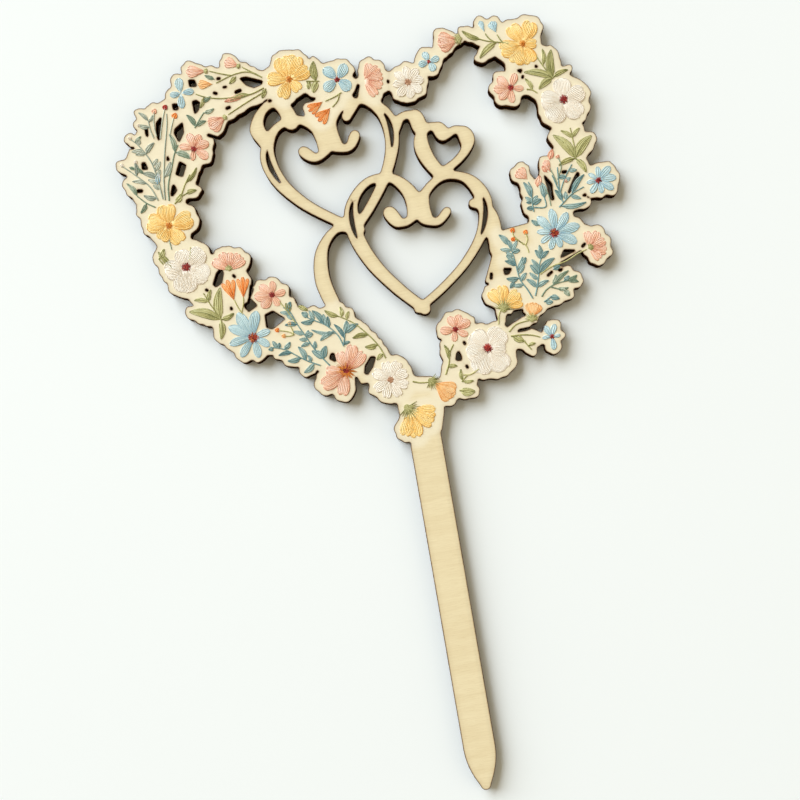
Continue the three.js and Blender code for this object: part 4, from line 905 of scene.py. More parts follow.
def wood_field(printed, wood, low, high):
    """Distances to the wood: the print's margin, the webs, the ornament and the stake."""
    field = Field(low, high)
    field.values = printed.values - wood.margin / MM
    for corners in WEBS:
        field.add_polygon(places(corners, wood))
    curves = [half for heart in HEARTS for half in heart_halves(heart, wood)]
    for points in curves + [places(run, wood) for run in SCROLLS]:
        stroke = spline(points, np.linspace(0, 1, 12 * (len(points) - 1)))
        field.add_stroke(stroke, pen_radii(stroke, wood))
    field.add_polygon(stake_outline(wood))
    field.soften(5)
    scallop(field, printed)
    cut = Field(low, high)
    for corners in CUTS:
        cut.add_polygon(places(corners, wood))
    radii = wood.slit / MM / 2 * (0.12 + np.sin(np.pi * np.linspace(0, 1, SLIT_STEPS)))
    for heart in HEARTS:
        if millimetres(heart[1], wood) > SMALLEST_SLIT_HEART:
            for half in heart_halves(heart, wood):
                cut.add_stroke(spline(half, np.linspace(*SLIT_RUN, SLIT_STEPS)), radii)
    cut.soften(1)
    for ends, radius in PINHOLES:
        cut.add_stroke(places(ends, wood), [millimetres(radius, wood)] * 2)
    field.values = np.maximum(field.values, -cut.values)
    return field


def topper_fields(wood):
    """Distances to the print and to the wood, on grids that hold the whole topper."""
    reach = place((520, 460), wood)
    low, high = (-reach[0] - 1, -wood.stake_depth / MM - 2), (reach[0] + 1, reach[1] + 1)
    printed = print_field(wood, low, high)
    return printed, wood_field(printed, wood, low, high)


class Shell:
    """A closed body in millimetres, with a material number for each face."""

    def __init__(self, levels):
        """Joins levels from front to back: each is loops, a depth, and points inside them."""
        self.points, self.faces, self.kinds = [], [], []
        before = None
        for number, (loops, y, inner) in enumerate(levels):
            if number in (0, len(levels) - 1):
                here = self.add_face(loops, y, number == 0, inner)
            else:
                here = [self.add_points(loop, y) for loop in loops]
            if before:
                self.add_band(before, here)
            before = here

    def add_points(self, spots, y):
        first = len(self.points)
        self.points += [(x, y, z) for x, z in spots]
        return list(range(first, len(self.points)))

    def add_band(self, fronts, backs):
        """Joins loops of points in front to the same loops behind."""
        for front, back in zip(fronts, backs):
            for here in range(len(front)):
                after = (here + 1) % len(front)
                self.faces.append((front[here], back[here], back[after], front[after]))
                self.kinds.append(WALL)

    def add_face(self, loops, y, towards_front, inner):
        """Fills loops with triangles, using the inner points as well."""
        spots = np.concatenate([*loops, *inner])
        edges, firsts, first = [], [], 0
        for loop in loops:
            count = len(loop)
            edges += [(first + step, first + (step + 1) % count) for step in range(count)]
            firsts.append(range(first, first + count))
            first += count
        made, sides, triangles, origins, side_origins, _ = delaunay_2d_cdt(
            [tuple(spot) for spot in spots], edges, [], 0, 1e-6)
        numbers = {old: new for new, olds in enumerate(origins) for old in olds}
        ids = self.add_points([(spot.x, spot.y) for spot in made], y)
        fence = {frozenset(side) for side, origin in zip(sides, side_origins) if origin}
        for triangle in kept_triangles(triangles, fence):
            a, b, c = (made[corner] for corner in triangle)
            anticlockwise = (b - a).cross(c - a) > 0
            order = triangle if anticlockwise == towards_front else triangle[::-1]
            self.faces.append(tuple(ids[corner] for corner in order))
            self.kinds.append(FACE)
        return [[ids[numbers[old]] for old in span] for span in firsts]


def kept_triangles(triangles, fence):
    """The triangles that an odd number of fences parts from the outside."""
    sharing = {}
    for number, triangle in enumerate(triangles):
        for corner in range(3):
            side = frozenset((triangle[corner], triangle[(corner + 1) % 3]))
            sharing.setdefault(side, []).append(number)
    inside = [None] * len(triangles)
    waiting = []
    for side, numbers in sharing.items():
        if len(numbers) == 1 and inside[numbers[0]] is None:
            inside[numbers[0]] = side in fence
            waiting.append(numbers[0])
    while waiting:
        number = waiting.pop()
        triangle = triangles[number]
        for corner in range(3):
            side = frozenset((triangle[corner], triangle[(corner + 1) % 3]))
            for other in sharing[side]:
                if inside[other] is None:
                    inside[other] = inside[number] != (side in fence)
                    waiting.append(other)
    return [triangle for triangle, kept in zip(triangles, inside) if kept]


def grid_points(field, spacing, clear):
    """Points spread over the inside of a field, clear of its edge."""
    xs = np.arange(field.xs[0], field.xs[-1], spacing)
    zs = np.arange(field.zs[0], field.zs[-1], spacing)
    x, z = np.meshgrid(xs, zs, indexing="ij")
    x = x + (np.arange(len(zs)) % 2) * spacing / 2
    spots = np.stack([x.ravel(), z.ravel()], axis=1)
    return spots[field.at(spots) < -clear]


def finish_wood(name, shell, edge_tree, printed, materials):
    """Makes the shell a mesh that knows how far each point is from cut and print."""
    mesh = bpy.data.meshes.new(name)
    points = np.array(shell.points)
    mesh.from_pydata((points * MM).tolist(), [], shell.faces)
    mesh.polygons.foreach_set("material_index", shell.kinds)
    mesh.polygons.foreach_set("use_smooth", [kind == WALL for kind in shell.kinds])
    for material in materials:
        mesh.materials.append(material)
    cut = [min(edge_tree.find((x, z, 0))[2], FAR) for x, _, z in shell.points]
    near = printed.at(points[:, [0, 2]]) if printed else np.full(len(points), FAR)
    add_values(mesh, {"cut_distance": cut, "print_distance": near})
    mesh.validate()
    return add_piece(name, mesh)


def add_values(mesh, attributes):
    """Gives each point of a mesh its own values."""
    for name, values in attributes.items():
        mesh.attributes.new(name, "FLOAT", "POINT").data.foreach_set("value", values)


def add_piece(name, data):
    piece = bpy.data.objects.new(name, data)
    bpy.context.scene.collection.objects.link(piece)
    return piece


class Value:
    """A number that a material works out, so that sums read as Python."""

    def __init__(self, graph, socket):
        self.graph = graph
        self.socket = socket

    def work(self, operation, first, second):
        node = self.graph.node("ShaderNodeMath", {0: first, 1: second}, operation=operation)
        return Value(self.graph, node.outputs[0])

    def __add__(self, other):
        return self.work("ADD", self, other)

    __radd__ = __add__

    def __mul__(self, other):
        return self.work("MULTIPLY", self, other)

    __rmul__ = __mul__

    def __sub__(self, other):
        return self.work("SUBTRACT", self, other)

    def __rsub__(self, other):
        return self.work("SUBTRACT", other, self)


class Graph:
    """A node tree and the ways this file adds to it."""

    def __init__(self, tree):
        self.tree = tree

    def node(self, kind, values=None, **settings):
        """Adds a node: its settings come first, then what its sockets hold."""
        node = self.tree.nodes.new(kind)
        for name, setting in settings.items():
            if name == "stops":
                self.set_stops(node.color_ramp.elements, setting)
            else:
                setattr(node, name, setting)
        self.feed(node, values or {})
        return node

    def feed(self, node, values):
        """Gives a node's sockets their links and constants."""
        for key, value in values.items():
            if isinstance(value, Value):
                value = value.socket
            if isinstance(value, bpy.types.NodeSocket):
                self.tree.links.new(value, node.inputs[key])
            else:
                node.inputs[key].default_value = value

    def set_stops(self, elements, stops):
        while len(elements) < len(stops):
            elements.new(0.5)
        for element, (position, shade) in zip(elements, stops):
            element.position = position
            element.color = (*shade, 1)

    def spots(self):
        """The surface's own places in millimetres."""
        return self.scaled(self.node("ShaderNodeTexCoord").outputs["Object"], (1000, 1000, 1000))

    def scaled(self, vector, factors):
        values = {0: vector, 1: factors}
        return self.node("ShaderNodeVectorMath", values, operation="MULTIPLY").outputs[0]

    def noise(self, spots, factors, detail=2.0, distortion=0.0):
        """Noise whose fineness differs along each axis."""
        return Value(self, self.node("ShaderNodeTexNoise", {
            "Vector": self.scaled(spots, factors), "Scale": 1.0, "Detail": detail,
            "Distortion": distortion}).outputs["Fac"])

    def attribute(self, name):
        return Value(self, self.node("ShaderNodeAttribute", attribute_name=name).outputs["Fac"])

    def fade(self, value, start, end):
        """1 at start and 0 at end, with soft ends."""
        node = self.node("ShaderNodeMapRange", {
            "Value": value, "From Min": start, "From Max": end, "To Min": 1.0, "To Max": 0.0},
            interpolation_type="SMOOTHSTEP")
        return Value(self, node.outputs["Result"])

    def mix(self, factor, first, second):
        """A colour between two others."""
        held = [shade if isinstance(shade, bpy.types.NodeSocket) else (*shade, 1)
                for shade in (first, second)]
        values = {0: factor, 6: held[0], 7: held[1]}
        return self.node("ShaderNodeMix", values, data_type="RGBA").outputs[2]

    def bump(self, height, distance, strength):
        return self.node("ShaderNodeBump", {
            "Height": height, "Distance": distance, "Strength": strength}).outputs["Normal"]


def new_material(name):
    """A material, its graph and its main shader."""
    material = bpy.data.materials.new(name)
    material.use_nodes = True
    return material, Graph(material.node_tree), material.node_tree.nodes["Principled BSDF"]


def face_material(wood):
    """Pale veneer: bands, fibres and flecks along X, primed by the print, toasted at the cut."""
    material, graph, shader = new_material("birch_face")
    spots = graph.spots()
    bands = graph.noise(spots, (0.018, 0.4, 0.26), 3.0, 1.2)
    fibres = graph.noise(spots, (0.30, 1.0, 6.0), 4.0, 0.3)
    flecks = 1 - graph.fade(graph.noise(spots, (0.9, 1.0, 5.0), 1.0), 0.60, 0.74)
    primed = graph.fade(graph.attribute("print_distance"), 1.2, 3.15)
    grained = (0.40 * (1 - graph.fade(bands, 0.35, 0.65))
               + 0.60 * (1 - graph.fade(fibres, 0.35, 0.72)))
    bare = graph.mix(grained * 0.62 + flecks * 0.22, wood.bare, wood.grain)
    face = graph.mix(primed * 0.72, bare, wood.cream)
    cut = graph.attribute("cut_distance")
    uneven = graph.noise(spots, (1.1, 1.1, 1.1), 2.0)
    toasted = graph.fade(cut, 0.0, 0.50) * (0.35 + uneven * 0.8) + graph.fade(cut, 0.2, 1.8) * 0.12
    graph.feed(shader, {
        "Base Color": graph.mix(toasted, face, wood.toast),
        "Roughness": 0.58 + fibres * 0.22,
        "Normal": graph.bump(fibres * 0.7 - flecks * 0.5, 0.00006, 0.35),
    })
    return material


def burnt_material(name, dark, light):
    """Laser-burnt wall: sooty streaks from face to face."""
    material, graph, shader = new_material(name)
    spots = graph.spots()
    streaks = graph.noise(spots, (5.0, 0.5, 5.0), 3.0)
    layers = graph.noise(spots, (0.5, 7.0, 0.5), 2.0)
    bright = (1 - graph.fade(streaks, 0.38, 0.70)) * 0.75 + (layers - 0.5) * 0.5
    graph.feed(shader, {
        "Base Color": graph.mix(bright, dark, light),
        "Roughness": 0.62 + streaks * 0.3,
        "Specular IOR Level": 0.0,
        "IOR": 1.01,
        "Normal": graph.bump(streaks, 0.00010, 0.5),
    })
    return material


def ink_material(name, shade):
    """Raised ink whose tone follows its strokes."""
    material, graph, shader = new_material("raised_" + name)
    spots = graph.spots()
    weave = graph.noise(spots, (3.2, 3.2, 3.2), 3.0)
    wash = graph.noise(spots, (0.45, 0.45, 0.45), 2.0)
    tone = graph.attribute("tone") + (weave - 0.5) * 0.85 + (wash - 0.5) * 0.45
    deep, pale = (tint(part) for part in TONES[name])
    ramp = graph.node("ShaderNodeValToRGB", {"Fac": tone},
                      stops=[(0.06, deep), (0.46, shade), (0.90, pale)])
    graph.feed(shader, {
        "Base Color": ramp.outputs["Color"],
        "Roughness": 0.48 + weave * 0.2,
        "Normal": graph.bump(weave, 0.00004, 0.4),
        "Specular IOR Level": 0.35,
    })
    return material


def ground_material(stage):
    """Matt white card that can't be seen from behind."""
    material, graph, shader = new_material("ground_card")
    spots = graph.spots()
    cloud = graph.noise(spots, (0.006, 0.006, 0.006), 2.0)
    paper = graph.noise(spots, (3.0, 3.0, 3.0), 2.0)
    graph.feed(shader, {
        "Base Color": graph.mix(cloud, stage.ground, [part * 0.96 for part in stage.ground]),
        "Roughness": 0.85 + paper * 0.1,
        "Specular IOR Level": 0.1,
    })
    behind = graph.node("ShaderNodeNewGeometry").outputs["Backfacing"]
    clear = graph.node("ShaderNodeBsdfTransparent").outputs[0]
    seen = graph.node("ShaderNodeMixShader", {0: behind, 1: shader.outputs[0], 2: clear})
    graph.feed(graph.tree.nodes["Material Output"], {"Surface": seen.outputs[0]})
    return material


def floor_material(stage):
    """Pale matt floor."""
    material, graph, shader = new_material("pale_floor")
    paper = graph.noise(graph.spots(), (0.4, 0.4, 0.4), 3.0)
    graph.feed(shader, {
        "Base Color": graph.mix(paper, stage.ground, [part * 0.94 for part in stage.ground]),
        "Roughness": 0.8 + paper * 0.1,
    })
    return material


def print_tree(name, grow):
    """A node tree that grows something on the points with a girth, and keeps the rest."""
    if name in bpy.data.node_groups:
        return bpy.data.node_groups[name]
    tree = bpy.data.node_groups.new(name, "GeometryNodeTree")
    for label, kind, way in (("Relief", "Geometry", "INPUT"), ("Radius", "Float", "INPUT"),
                             ("Ink", "Material", "INPUT"), ("Printed", "Geometry", "OUTPUT")):
        tree.interface.new_socket(label, in_out=way, socket_type="NodeSocket" + kind)
    graph = Graph(tree)
    given = graph.node("NodeGroupInput").outputs
    marked = graph.node("GeometryNodeInputNamedAttribute", {"Name": "girth"}, data_type="FLOAT")
    girth = Value(graph, marked.outputs["Attribute"])
    chosen = graph.node("FunctionNodeCompare", {0: girth, 1: 0.0}, operation="GREATER_THAN")
    parted = graph.node("GeometryNodeSeparateGeometry", {
        "Geometry": given["Relief"], "Selection": chosen.outputs["Result"]}, domain="POINT")
    joined = graph.node("GeometryNodeJoinGeometry")
    graph.feed(joined, {0: grow(graph, parted.outputs["Selection"], girth, given["Radius"])})
    graph.feed(joined, {0: parted.outputs["Inverted"]})
    real = graph.node("GeometryNodeRealizeInstances", {"Geometry": joined.outputs[0]})
    inked = graph.node("GeometryNodeSetMaterial", {
        "Geometry": real.outputs[0], "Material": given["Ink"]})
    graph.node("NodeGroupOutput", {"Printed": inked.outputs[0]})
    return tree


def grow_threads(graph, points, girth, radius):
    """Strokes along the runs of edges."""
    runs = graph.node("GeometryNodeMeshToCurve", {"Mesh": points})
    ring = graph.node("GeometryNodeCurvePrimitiveCircle", {
        "Resolution": THREAD_SIDES, "Radius": 1.0})
    tubes = graph.node("GeometryNodeCurveToMesh", {
        "Curve": runs.outputs[0], "Profile Curve": ring.outputs[0],
        "Scale": girth * Value(graph, radius), "Fill Caps": True})
    return graph.node("GeometryNodeSetShadeSmooth", {"Geometry": tubes.outputs[0]}).outputs[0]


def grow_heads(graph, points, girth, radius):
    """A small round head on each point."""
    head = graph.node("GeometryNodeMeshIcoSphere", {"Radius": radius, "Subdivisions": 1})
    smooth = graph.node("GeometryNodeSetShadeSmooth", {"Geometry": head.outputs["Mesh"]})
    return graph.node("GeometryNodeInstanceOnPoints", {
        "Points": points, "Instance": smooth.outputs[0], "Scale": girth}).outputs[0]


def run_tree(name, mesh, tree, values):
    """Makes a mesh through a node tree, and a plain piece of the result."""
    rough = add_piece(name + "_rough", mesh)
    modifier = rough.modifiers.new("grow", "NODES")
    modifier.node_group = tree
    for item in tree.interface.items_tree:
        if item.in_out == "INPUT" and item.name in values:
            modifier[item.identifier] = values[item.name]
    graph = bpy.context.evaluated_depsgraph_get()
    made = bpy.data.meshes.new_from_object(rough.evaluated_get(graph), depsgraph=graph)
    bpy.data.objects.remove(rough)
    bpy.data.meshes.remove(mesh)
    made.name = name
    return add_piece(name, made)


class Relief:
    """Raised print in millimetres: pads with faces, and strokes as runs of edges.

    Tones run from 0, the ink's deep tone, to 1, its pale one. A girth is the share of a
    thread's radius, and 0 on a pad.
    """

    def __init__(self, front):
        self.front = front
        self.points, self.faces, self.edges = [], [], []
        self.tones, self.girths = [], []
        # The same seed for every relief, so that each piece is the same on its own
        self.dice = np.random.default_rng(7)

    def add(self, spots, depths, tones, girth):
        """Adds points at a height over the wood, and tells the first one's number."""
        first = len(self.points)
        depths, tones, girth = (np.broadcast_to(values, len(spots))
                                for values in (depths, tones, girth))
        self.points += [(x, self.front - depth, z) for (x, z), depth in zip(spots, depths)]
        self.tones += tones.tolist()
        self.girths += girth.tolist()
        return first

    def add_pad(self, rim, heart, lift, tones):
        """A closed, domed pad on an outline that runs anticlockwise."""
        count = len(rim)
        firsts = [self.add(heart + (rim - heart) * size, lift * rise, tones, 0)
                  for size, rise in PAD_RINGS]
        top = self.add([heart], lift, tones.mean(), 0)
        under = self.add([heart], 0, tones.mean(), 0)
        low, high = firsts[:2]
        for step in range(count):
            after = (step + 1) % count
            self.faces.append((high + step, low + step, low + after, high + after))
            for outer, inner in zip(firsts[1:], firsts[2:]):
                self.faces.append((outer + step, outer + after, inner + after, inner + step))
            self.faces.append((firsts[-1] + step, firsts[-1] + after, top))
            self.faces.append((low + after, low + step, under))

    def add_stroke(self, spots, depths, tones, girth):
        first = self.add(spots, depths, tones, girth)
        self.edges += [(first + step, first + step + 1) for step in range(len(spots) - 1)]

    def add_blade(self, blade, sizes, lift, shade=0.5, streak=0.30, rib=0.0, spread=0.26):
        """A pad filled with strokes from its base to its tip, and a darker rib, painted lighter on
        the side that faces the light and darker on the side away from it.
        """
        rim = blade.rim(PAD_STEPS)
        heart = blade.at(np.array([0.56]), 0)[0]
        # Painted highlight and shade: the pad's tone is lighter towards the light and darker on the
        # side away from it
        lean = (rim - heart) @ LIGHT / max(blade.breadth, 0.1)
        self.add_pad(rim, heart, lift, shade + 0.12 * lean)
        count = max(3, int(round(blade.breadth / (sizes.pitch / MM))))
        for side in np.linspace(-0.84, 0.84, count):
            self.add_fibre(blade, side, lift, shade, streak, spread)
        # Dark contour strokes of the print run along both edges; the one on the side away from the
        # light is darker still, which is painted shade
        dark = -1 if blade.across @ LIGHT > 0 else 1
        shares = np.linspace(0.20, 0.99, 7)
        self.add_stroke(blade.at(shares, 0.96 * dark), lift + 0.03, shade - 0.42, 0.55)
        self.add_stroke(blade.at(shares, -0.96 * dark), lift + STROKE_RISE, shade - 0.30, 0.45)
        if rib:
            self.add_stroke(blade.at(np.linspace(0, 0.9, 5), 0), lift + 0.05, shade - rib, 0.7)

    def add_fibre(self, blade, side, lift, shade, streak, spread):
        """One stroke of a blade, darker towards its base, and with painted light across the blade:
        lighter towards the lit side, darker towards the side away from the light.
        """
        start, end, own = self.dice.uniform((0.06, 0.84, -1), (0.22, 0.95, 1))
        start += 0.22 * abs(side)
        shares = np.linspace(start, end, 5)
        swell = lift * (0.62 + 0.38 * (1 - side * side) * np.sin(np.pi * shares))
        tones = shade + spread * own - streak * (1 - shares) ** 2 + 0.10 * shares
        # Painted highlight and shade: strokes on the side of the blade that faces the light are
        # lighter, those on the far side darker
        tones = tones + 0.16 * side * (blade.across @ LIGHT)
        self.add_stroke(blade.at(shares, side), swell + STROKE_RISE, tones,
                        [0.45, 0.9, 1.0, 0.95, 0.5])

    def mesh(self, name):
        mesh = bpy.data.meshes.new(name)
        mesh.from_pydata((np.array(self.points) * MM).tolist(), self.edges, self.faces)
        mesh.polygons.foreach_set("use_smooth", [True] * len(self.faces))
        add_values(mesh, {"tone": self.tones, "girth": self.girths})
        return mesh


def wood_front(wood):
    """Where the printed face lies, in millimetres."""
    return -(wood.core / 2 + wood.veneer) / MM


def print_piece(name, relief, ink, sizes, node=None, heads=False):
    """Makes a relief a piece of printed ink, which stands for a node if one is named."""
    # Named apart from the frame's own materials, which have the names of the slots
    material = bpy.data.materials.get("raised_" + ink) or ink_material(ink, getattr(sizes, ink))
    if heads:
        tree, radius = print_tree("stamen_heads", grow_heads), sizes.speck
    else:
        tree, radius = print_tree("stitched_strokes", grow_threads), sizes.thread
    piece = run_tree(name, relief.mesh(name), tree, {"Radius": radius, "Ink": material})
    own_piece(piece, "ink_" + INK_SLOTS.get(ink, ink), node)


def own_piece(piece, slot, node=None):
    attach(piece, "root")
    if node:
        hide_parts(node)


class TOPPER_OT_cut_wood(bpy.types.Operator):
    """Cut the three plies with their burnt walls"""
    bl_idname = "topper.cut_wood"
    bl_label = "Cut the plies"

    def execute(self, context):
        wood = context.scene.topper_wood
        printed, field = topper_fields(wood)
        raw = [loop for loop in field.outlines() if len(loop) > 5]
        edge_tree = KDTree(sum(len(loop) for loop in raw))
        for number, (x, z) in enumerate(np.concatenate(raw)):
            edge_tree.insert((x, z, 0), number)
        edge_tree.balance()
        outlines = [evened(loop, CUT_SPACING) for loop in raw]
        nearby = np.concatenate([inset(loop, ROW_INSET) for loop in outlines])
        nearby = nearby[[edge_tree.find((x, z, 0))[2] > ROW_CLEAR for x, z in nearby]]
        fine = [nearby[field.at(nearby) < 0], grid_points(field, FACE_SPACING, FACE_CLEAR)]
        chamfer, core, front = wood.chamfer / MM, wood.core / MM / 2, wood_front(wood)
        rings = [inset(loop, chamfer) for loop in outlines]
        brim = chamfer * 0.5
        face = face_material(wood)
        wall = burnt_material("burnt_veneer", wood.soot, wood.burnt)
        dark = burnt_material("burnt_core", wood.char, [0.4 * part for part in wood.soot])
        for name, slot, node, near, walls, levels in (
            ("veneer_front", "veneer", "ply_front", printed, wall,
             ((rings, front, fine), (outlines, front + brim, ()), (outlines, -core, ()))),
            ("core_layer", "core_wood", "ply_core", printed, dark,
             ((outlines, -core, ()), (outlines, core, ()))),
            ("veneer_back", "veneer", "ply_back", None, wall,
             ((outlines, core, ()), (outlines, -front - brim, ()), (rings, -front, fine))),
        ):
            piece = finish_wood(name, Shell(levels), edge_tree, near, (face, walls))
            own_piece(piece, slot, node)
        return {"FINISHED"}


class TOPPER_OT_print_blossoms(bpy.types.Operator):
    """Print every blossom as pads filled with strokes"""
    bl_idname = "topper.print_blossoms"
    bl_label = "Print the blossoms"

    def execute(self, context):
        wood, sizes = context.scene.topper_wood, context.scene.topper_print
        for blossom in BLOSSOMS:
            relief = Relief(wood_front(wood))
            streak, spread = (0.25, 0.12) if blossom.ink == "white" else (0.46, 0.21)
            for number, blade in enumerate(petal_blades(blossom, wood)):
                lift = sizes.pad / MM * (0.82 + 0.18 * (number % 3))
                relief.add_blade(blade, sizes, lift, 0.60, streak, 0, spread)
            print_piece("print_" + blossom.name, relief, blossom.ink, sizes, blossom.name)
        return {"FINISHED"}


class TOPPER_OT_print_buds(bpy.types.Operator):
    """Print every bud and bell"""
    bl_idname = "topper.print_buds"
    bl_label = "Print the buds"

    def execute(self, context):
        wood, sizes = context.scene.topper_wood, context.scene.topper_print
        for number, bud in enumerate(BUDS):
            relief = Relief(wood_front(wood))
            whole = bud_blade(bud, wood)
            spread, share = (0.68, 0.48) if bud.ink == "orange" else (0.30, 0.56)
            for hand in (1, -1, 0):
                lift = sizes.pad / MM * (1 - 0.2 * abs(hand))
                relief.add_blade(bud_petal(whole, hand, spread, share), sizes, lift,
                                 0.66 - 0.08 * abs(hand), 0.45)
            name = bud.name or "bud_small_%d" % number
            print_piece("print_" + name, relief, bud.ink, sizes, bud.name)
        return {"FINISHED"}


class TOPPER_OT_print_sprigs(bpy.types.Operator):
    """Print every stalk with its leaves"""
    bl_idname = "topper.print_sprigs"
    bl_label = "Print the sprigs"

    def execute(self, context):
        wood, sizes = context.scene.topper_wood, context.scene.topper_print
        printed, wood_shape = topper_fields(wood)
        pad = sizes.pad / MM
        fine = {}
        for name, ink, stalks in SPRIGS:
            relief = Relief(wood_front(wood))
            if not name:
                relief = fine.setdefault(ink, relief)
            curves, blades = sprig_parts(stalks, wood, 0.08)
            for number, blade in enumerate(blades):
                shade = 0.54 + 0.13 * math.sin(2.4 * number + len(relief.points))
                relief.add_blade(blade, sizes, pad * 0.9, shade, 0.18, 0.42)
            for curve in curves:
                if ink == "teal" or name in ("sprig_left_mid", "sprig_left_outer"):
                    for blade in leaflets(curve, sizes, printed, wood_shape):
                        relief.add_blade(blade, sizes, pad * 0.7, 0.60, 0.18)
                girth = sizes.stalk / sizes.thread * np.linspace(1.0, 0.75, len(curve))
                relief.add_stroke(curve, STROKE_RISE, 0.28, girth)
            if name:
                print_piece("print_" + name, relief, ink, sizes, name)
        for ink, relief in fine.items():
            print_piece("fine_sprigs_" + ink, relief, ink, sizes)
        return {"FINISHED"}


class TOPPER_OT_print_fine(bpy.types.Operator):
    """Print the loose berries, the finest stalks and leaves, and the green cups"""
    bl_idname = "topper.print_fine"
    bl_label = "Print the fine details"

    def execute(self, context):
        wood, sizes = context.scene.topper_wood, context.scene.topper_print
        pad = sizes.pad / MM
        reliefs = {}
        for ink, middle, size in LOOSE_BERRIES:
            relief = reliefs.setdefault(ink, Relief(wood_front(wood)))
            radius = millimetres(size, wood)
            base, tip = (place(middle, wood) + direction(turn) * radius for turn in (230, 50))
            relief.add_blade(Blade(base, tip, 1.8 * radius, "leaf"), sizes, pad, 0.45, 0.3)
        for ink, points, breadth in FINE_STROKES:
            relief = reliefs.setdefault(ink, Relief(wood_front(wood)))
            spots = places(points, wood)
            if breadth:
                blade = Blade(spots[0], spots[-1], millimetres(breadth, wood), "leaf")
                relief.add_blade(blade, sizes, pad * 0.9, 0.44, 0.18, 0.3)
            else:
                stalk = spline(spots, np.linspace(0, 1, 5 * len(spots)))
                relief.add_stroke(stalk, STROKE_RISE, 0.45, sizes.stalk / sizes.thread * 0.8)
        for ink, relief in reliefs.items():
            print_piece("fine_details_" + ink, relief, ink, sizes)
        relief = Relief(wood_front(wood))
        for middle, degrees, reach in CALYXES:
            for step in range(13):
                way = direction(degrees + (step - 6) * 14) * millimetres(reach, wood)
                shares = np.linspace(-0.2, 1 - 0.05 * abs(step - 6) - 0.12 * (step % 2), 5)
                relief.add_stroke(place(middle, wood) + np.outer(shares, way),
                                  0.09 + 0.02 * (step % 2), 0.20 + 0.16 * (step % 3),
                                  [1.1, 1.3, 1.2, 0.8, 0.3])
        print_piece("fine_cups", relief, "olive", sizes)
        return {"FINISHED"}


class TOPPER_OT_set_stamens(bpy.types.Operator):
    """Set the stamens in the blossoms' middles"""
    bl_idname = "topper.set_stamens"
    bl_label = "Set the stamens"

    def execute(self, context):
        wood, sizes = context.scene.topper_wood, context.scene.topper_print
        heads, filaments = {}, {}
        around = np.array([direction(30 * step) for step in range(12)])
        for blossom in BLOSSOMS:
            if not blossom.stamens:
                continue
            ink, spread, count = blossom.stamens
            middle = place(blossom.middle, wood)
            strands = STRANDS.get(blossom.name, (0, 0))
            for hue, (reach, strokes) in ((ink, (spread, count)), ("honey", strands)):
                relief = filaments.setdefault(hue, Relief(wood_front(wood)))
                self.add_filaments(relief, middle, reach, strokes)
            relief = heads.setdefault(ink, Relief(wood_front(wood)))
            lift = sizes.pad / MM * 1.15
            relief.add_pad(middle + around * spread * 0.72, middle, lift, np.full(12, 0.25))
            steps = np.arange(count)
            reach = spread * np.sqrt((steps + 0.5) / count)
            turns = np.array([direction(step * GOLDEN_ANGLE) for step in steps])
            tones = relief.dice.uniform(0.05, 0.85, count)
            relief.add(middle + turns * reach[:, None], 0.05, tones,
                       relief.dice.uniform(0.6, 0.95, count))
        for ink, relief in heads.items():
            print_piece("stamens_" + ink, relief, ink, sizes, heads=True)
        for ink, relief in filaments.items():
            print_piece("filaments_" + ink, relief, ink, sizes)
        return {"FINISHED"}

    def add_filaments(self, relief, middle, spread, count):
        """Fine strokes that stand out round a blossom's middle, like spikes."""
        for step in range(count):
            turn = 360 * step / count + relief.dice.uniform(-9, 9)
            reach = relief.dice.uniform(0.85, 1.35)
            spots = middle + np.outer(np.array([0.3, 0.7, 1.0]) * reach * spread, direction(turn))
            relief.add_stroke(spots, 0.08, relief.dice.uniform(0.1, 0.5), [1.0, 0.7, 0.25])


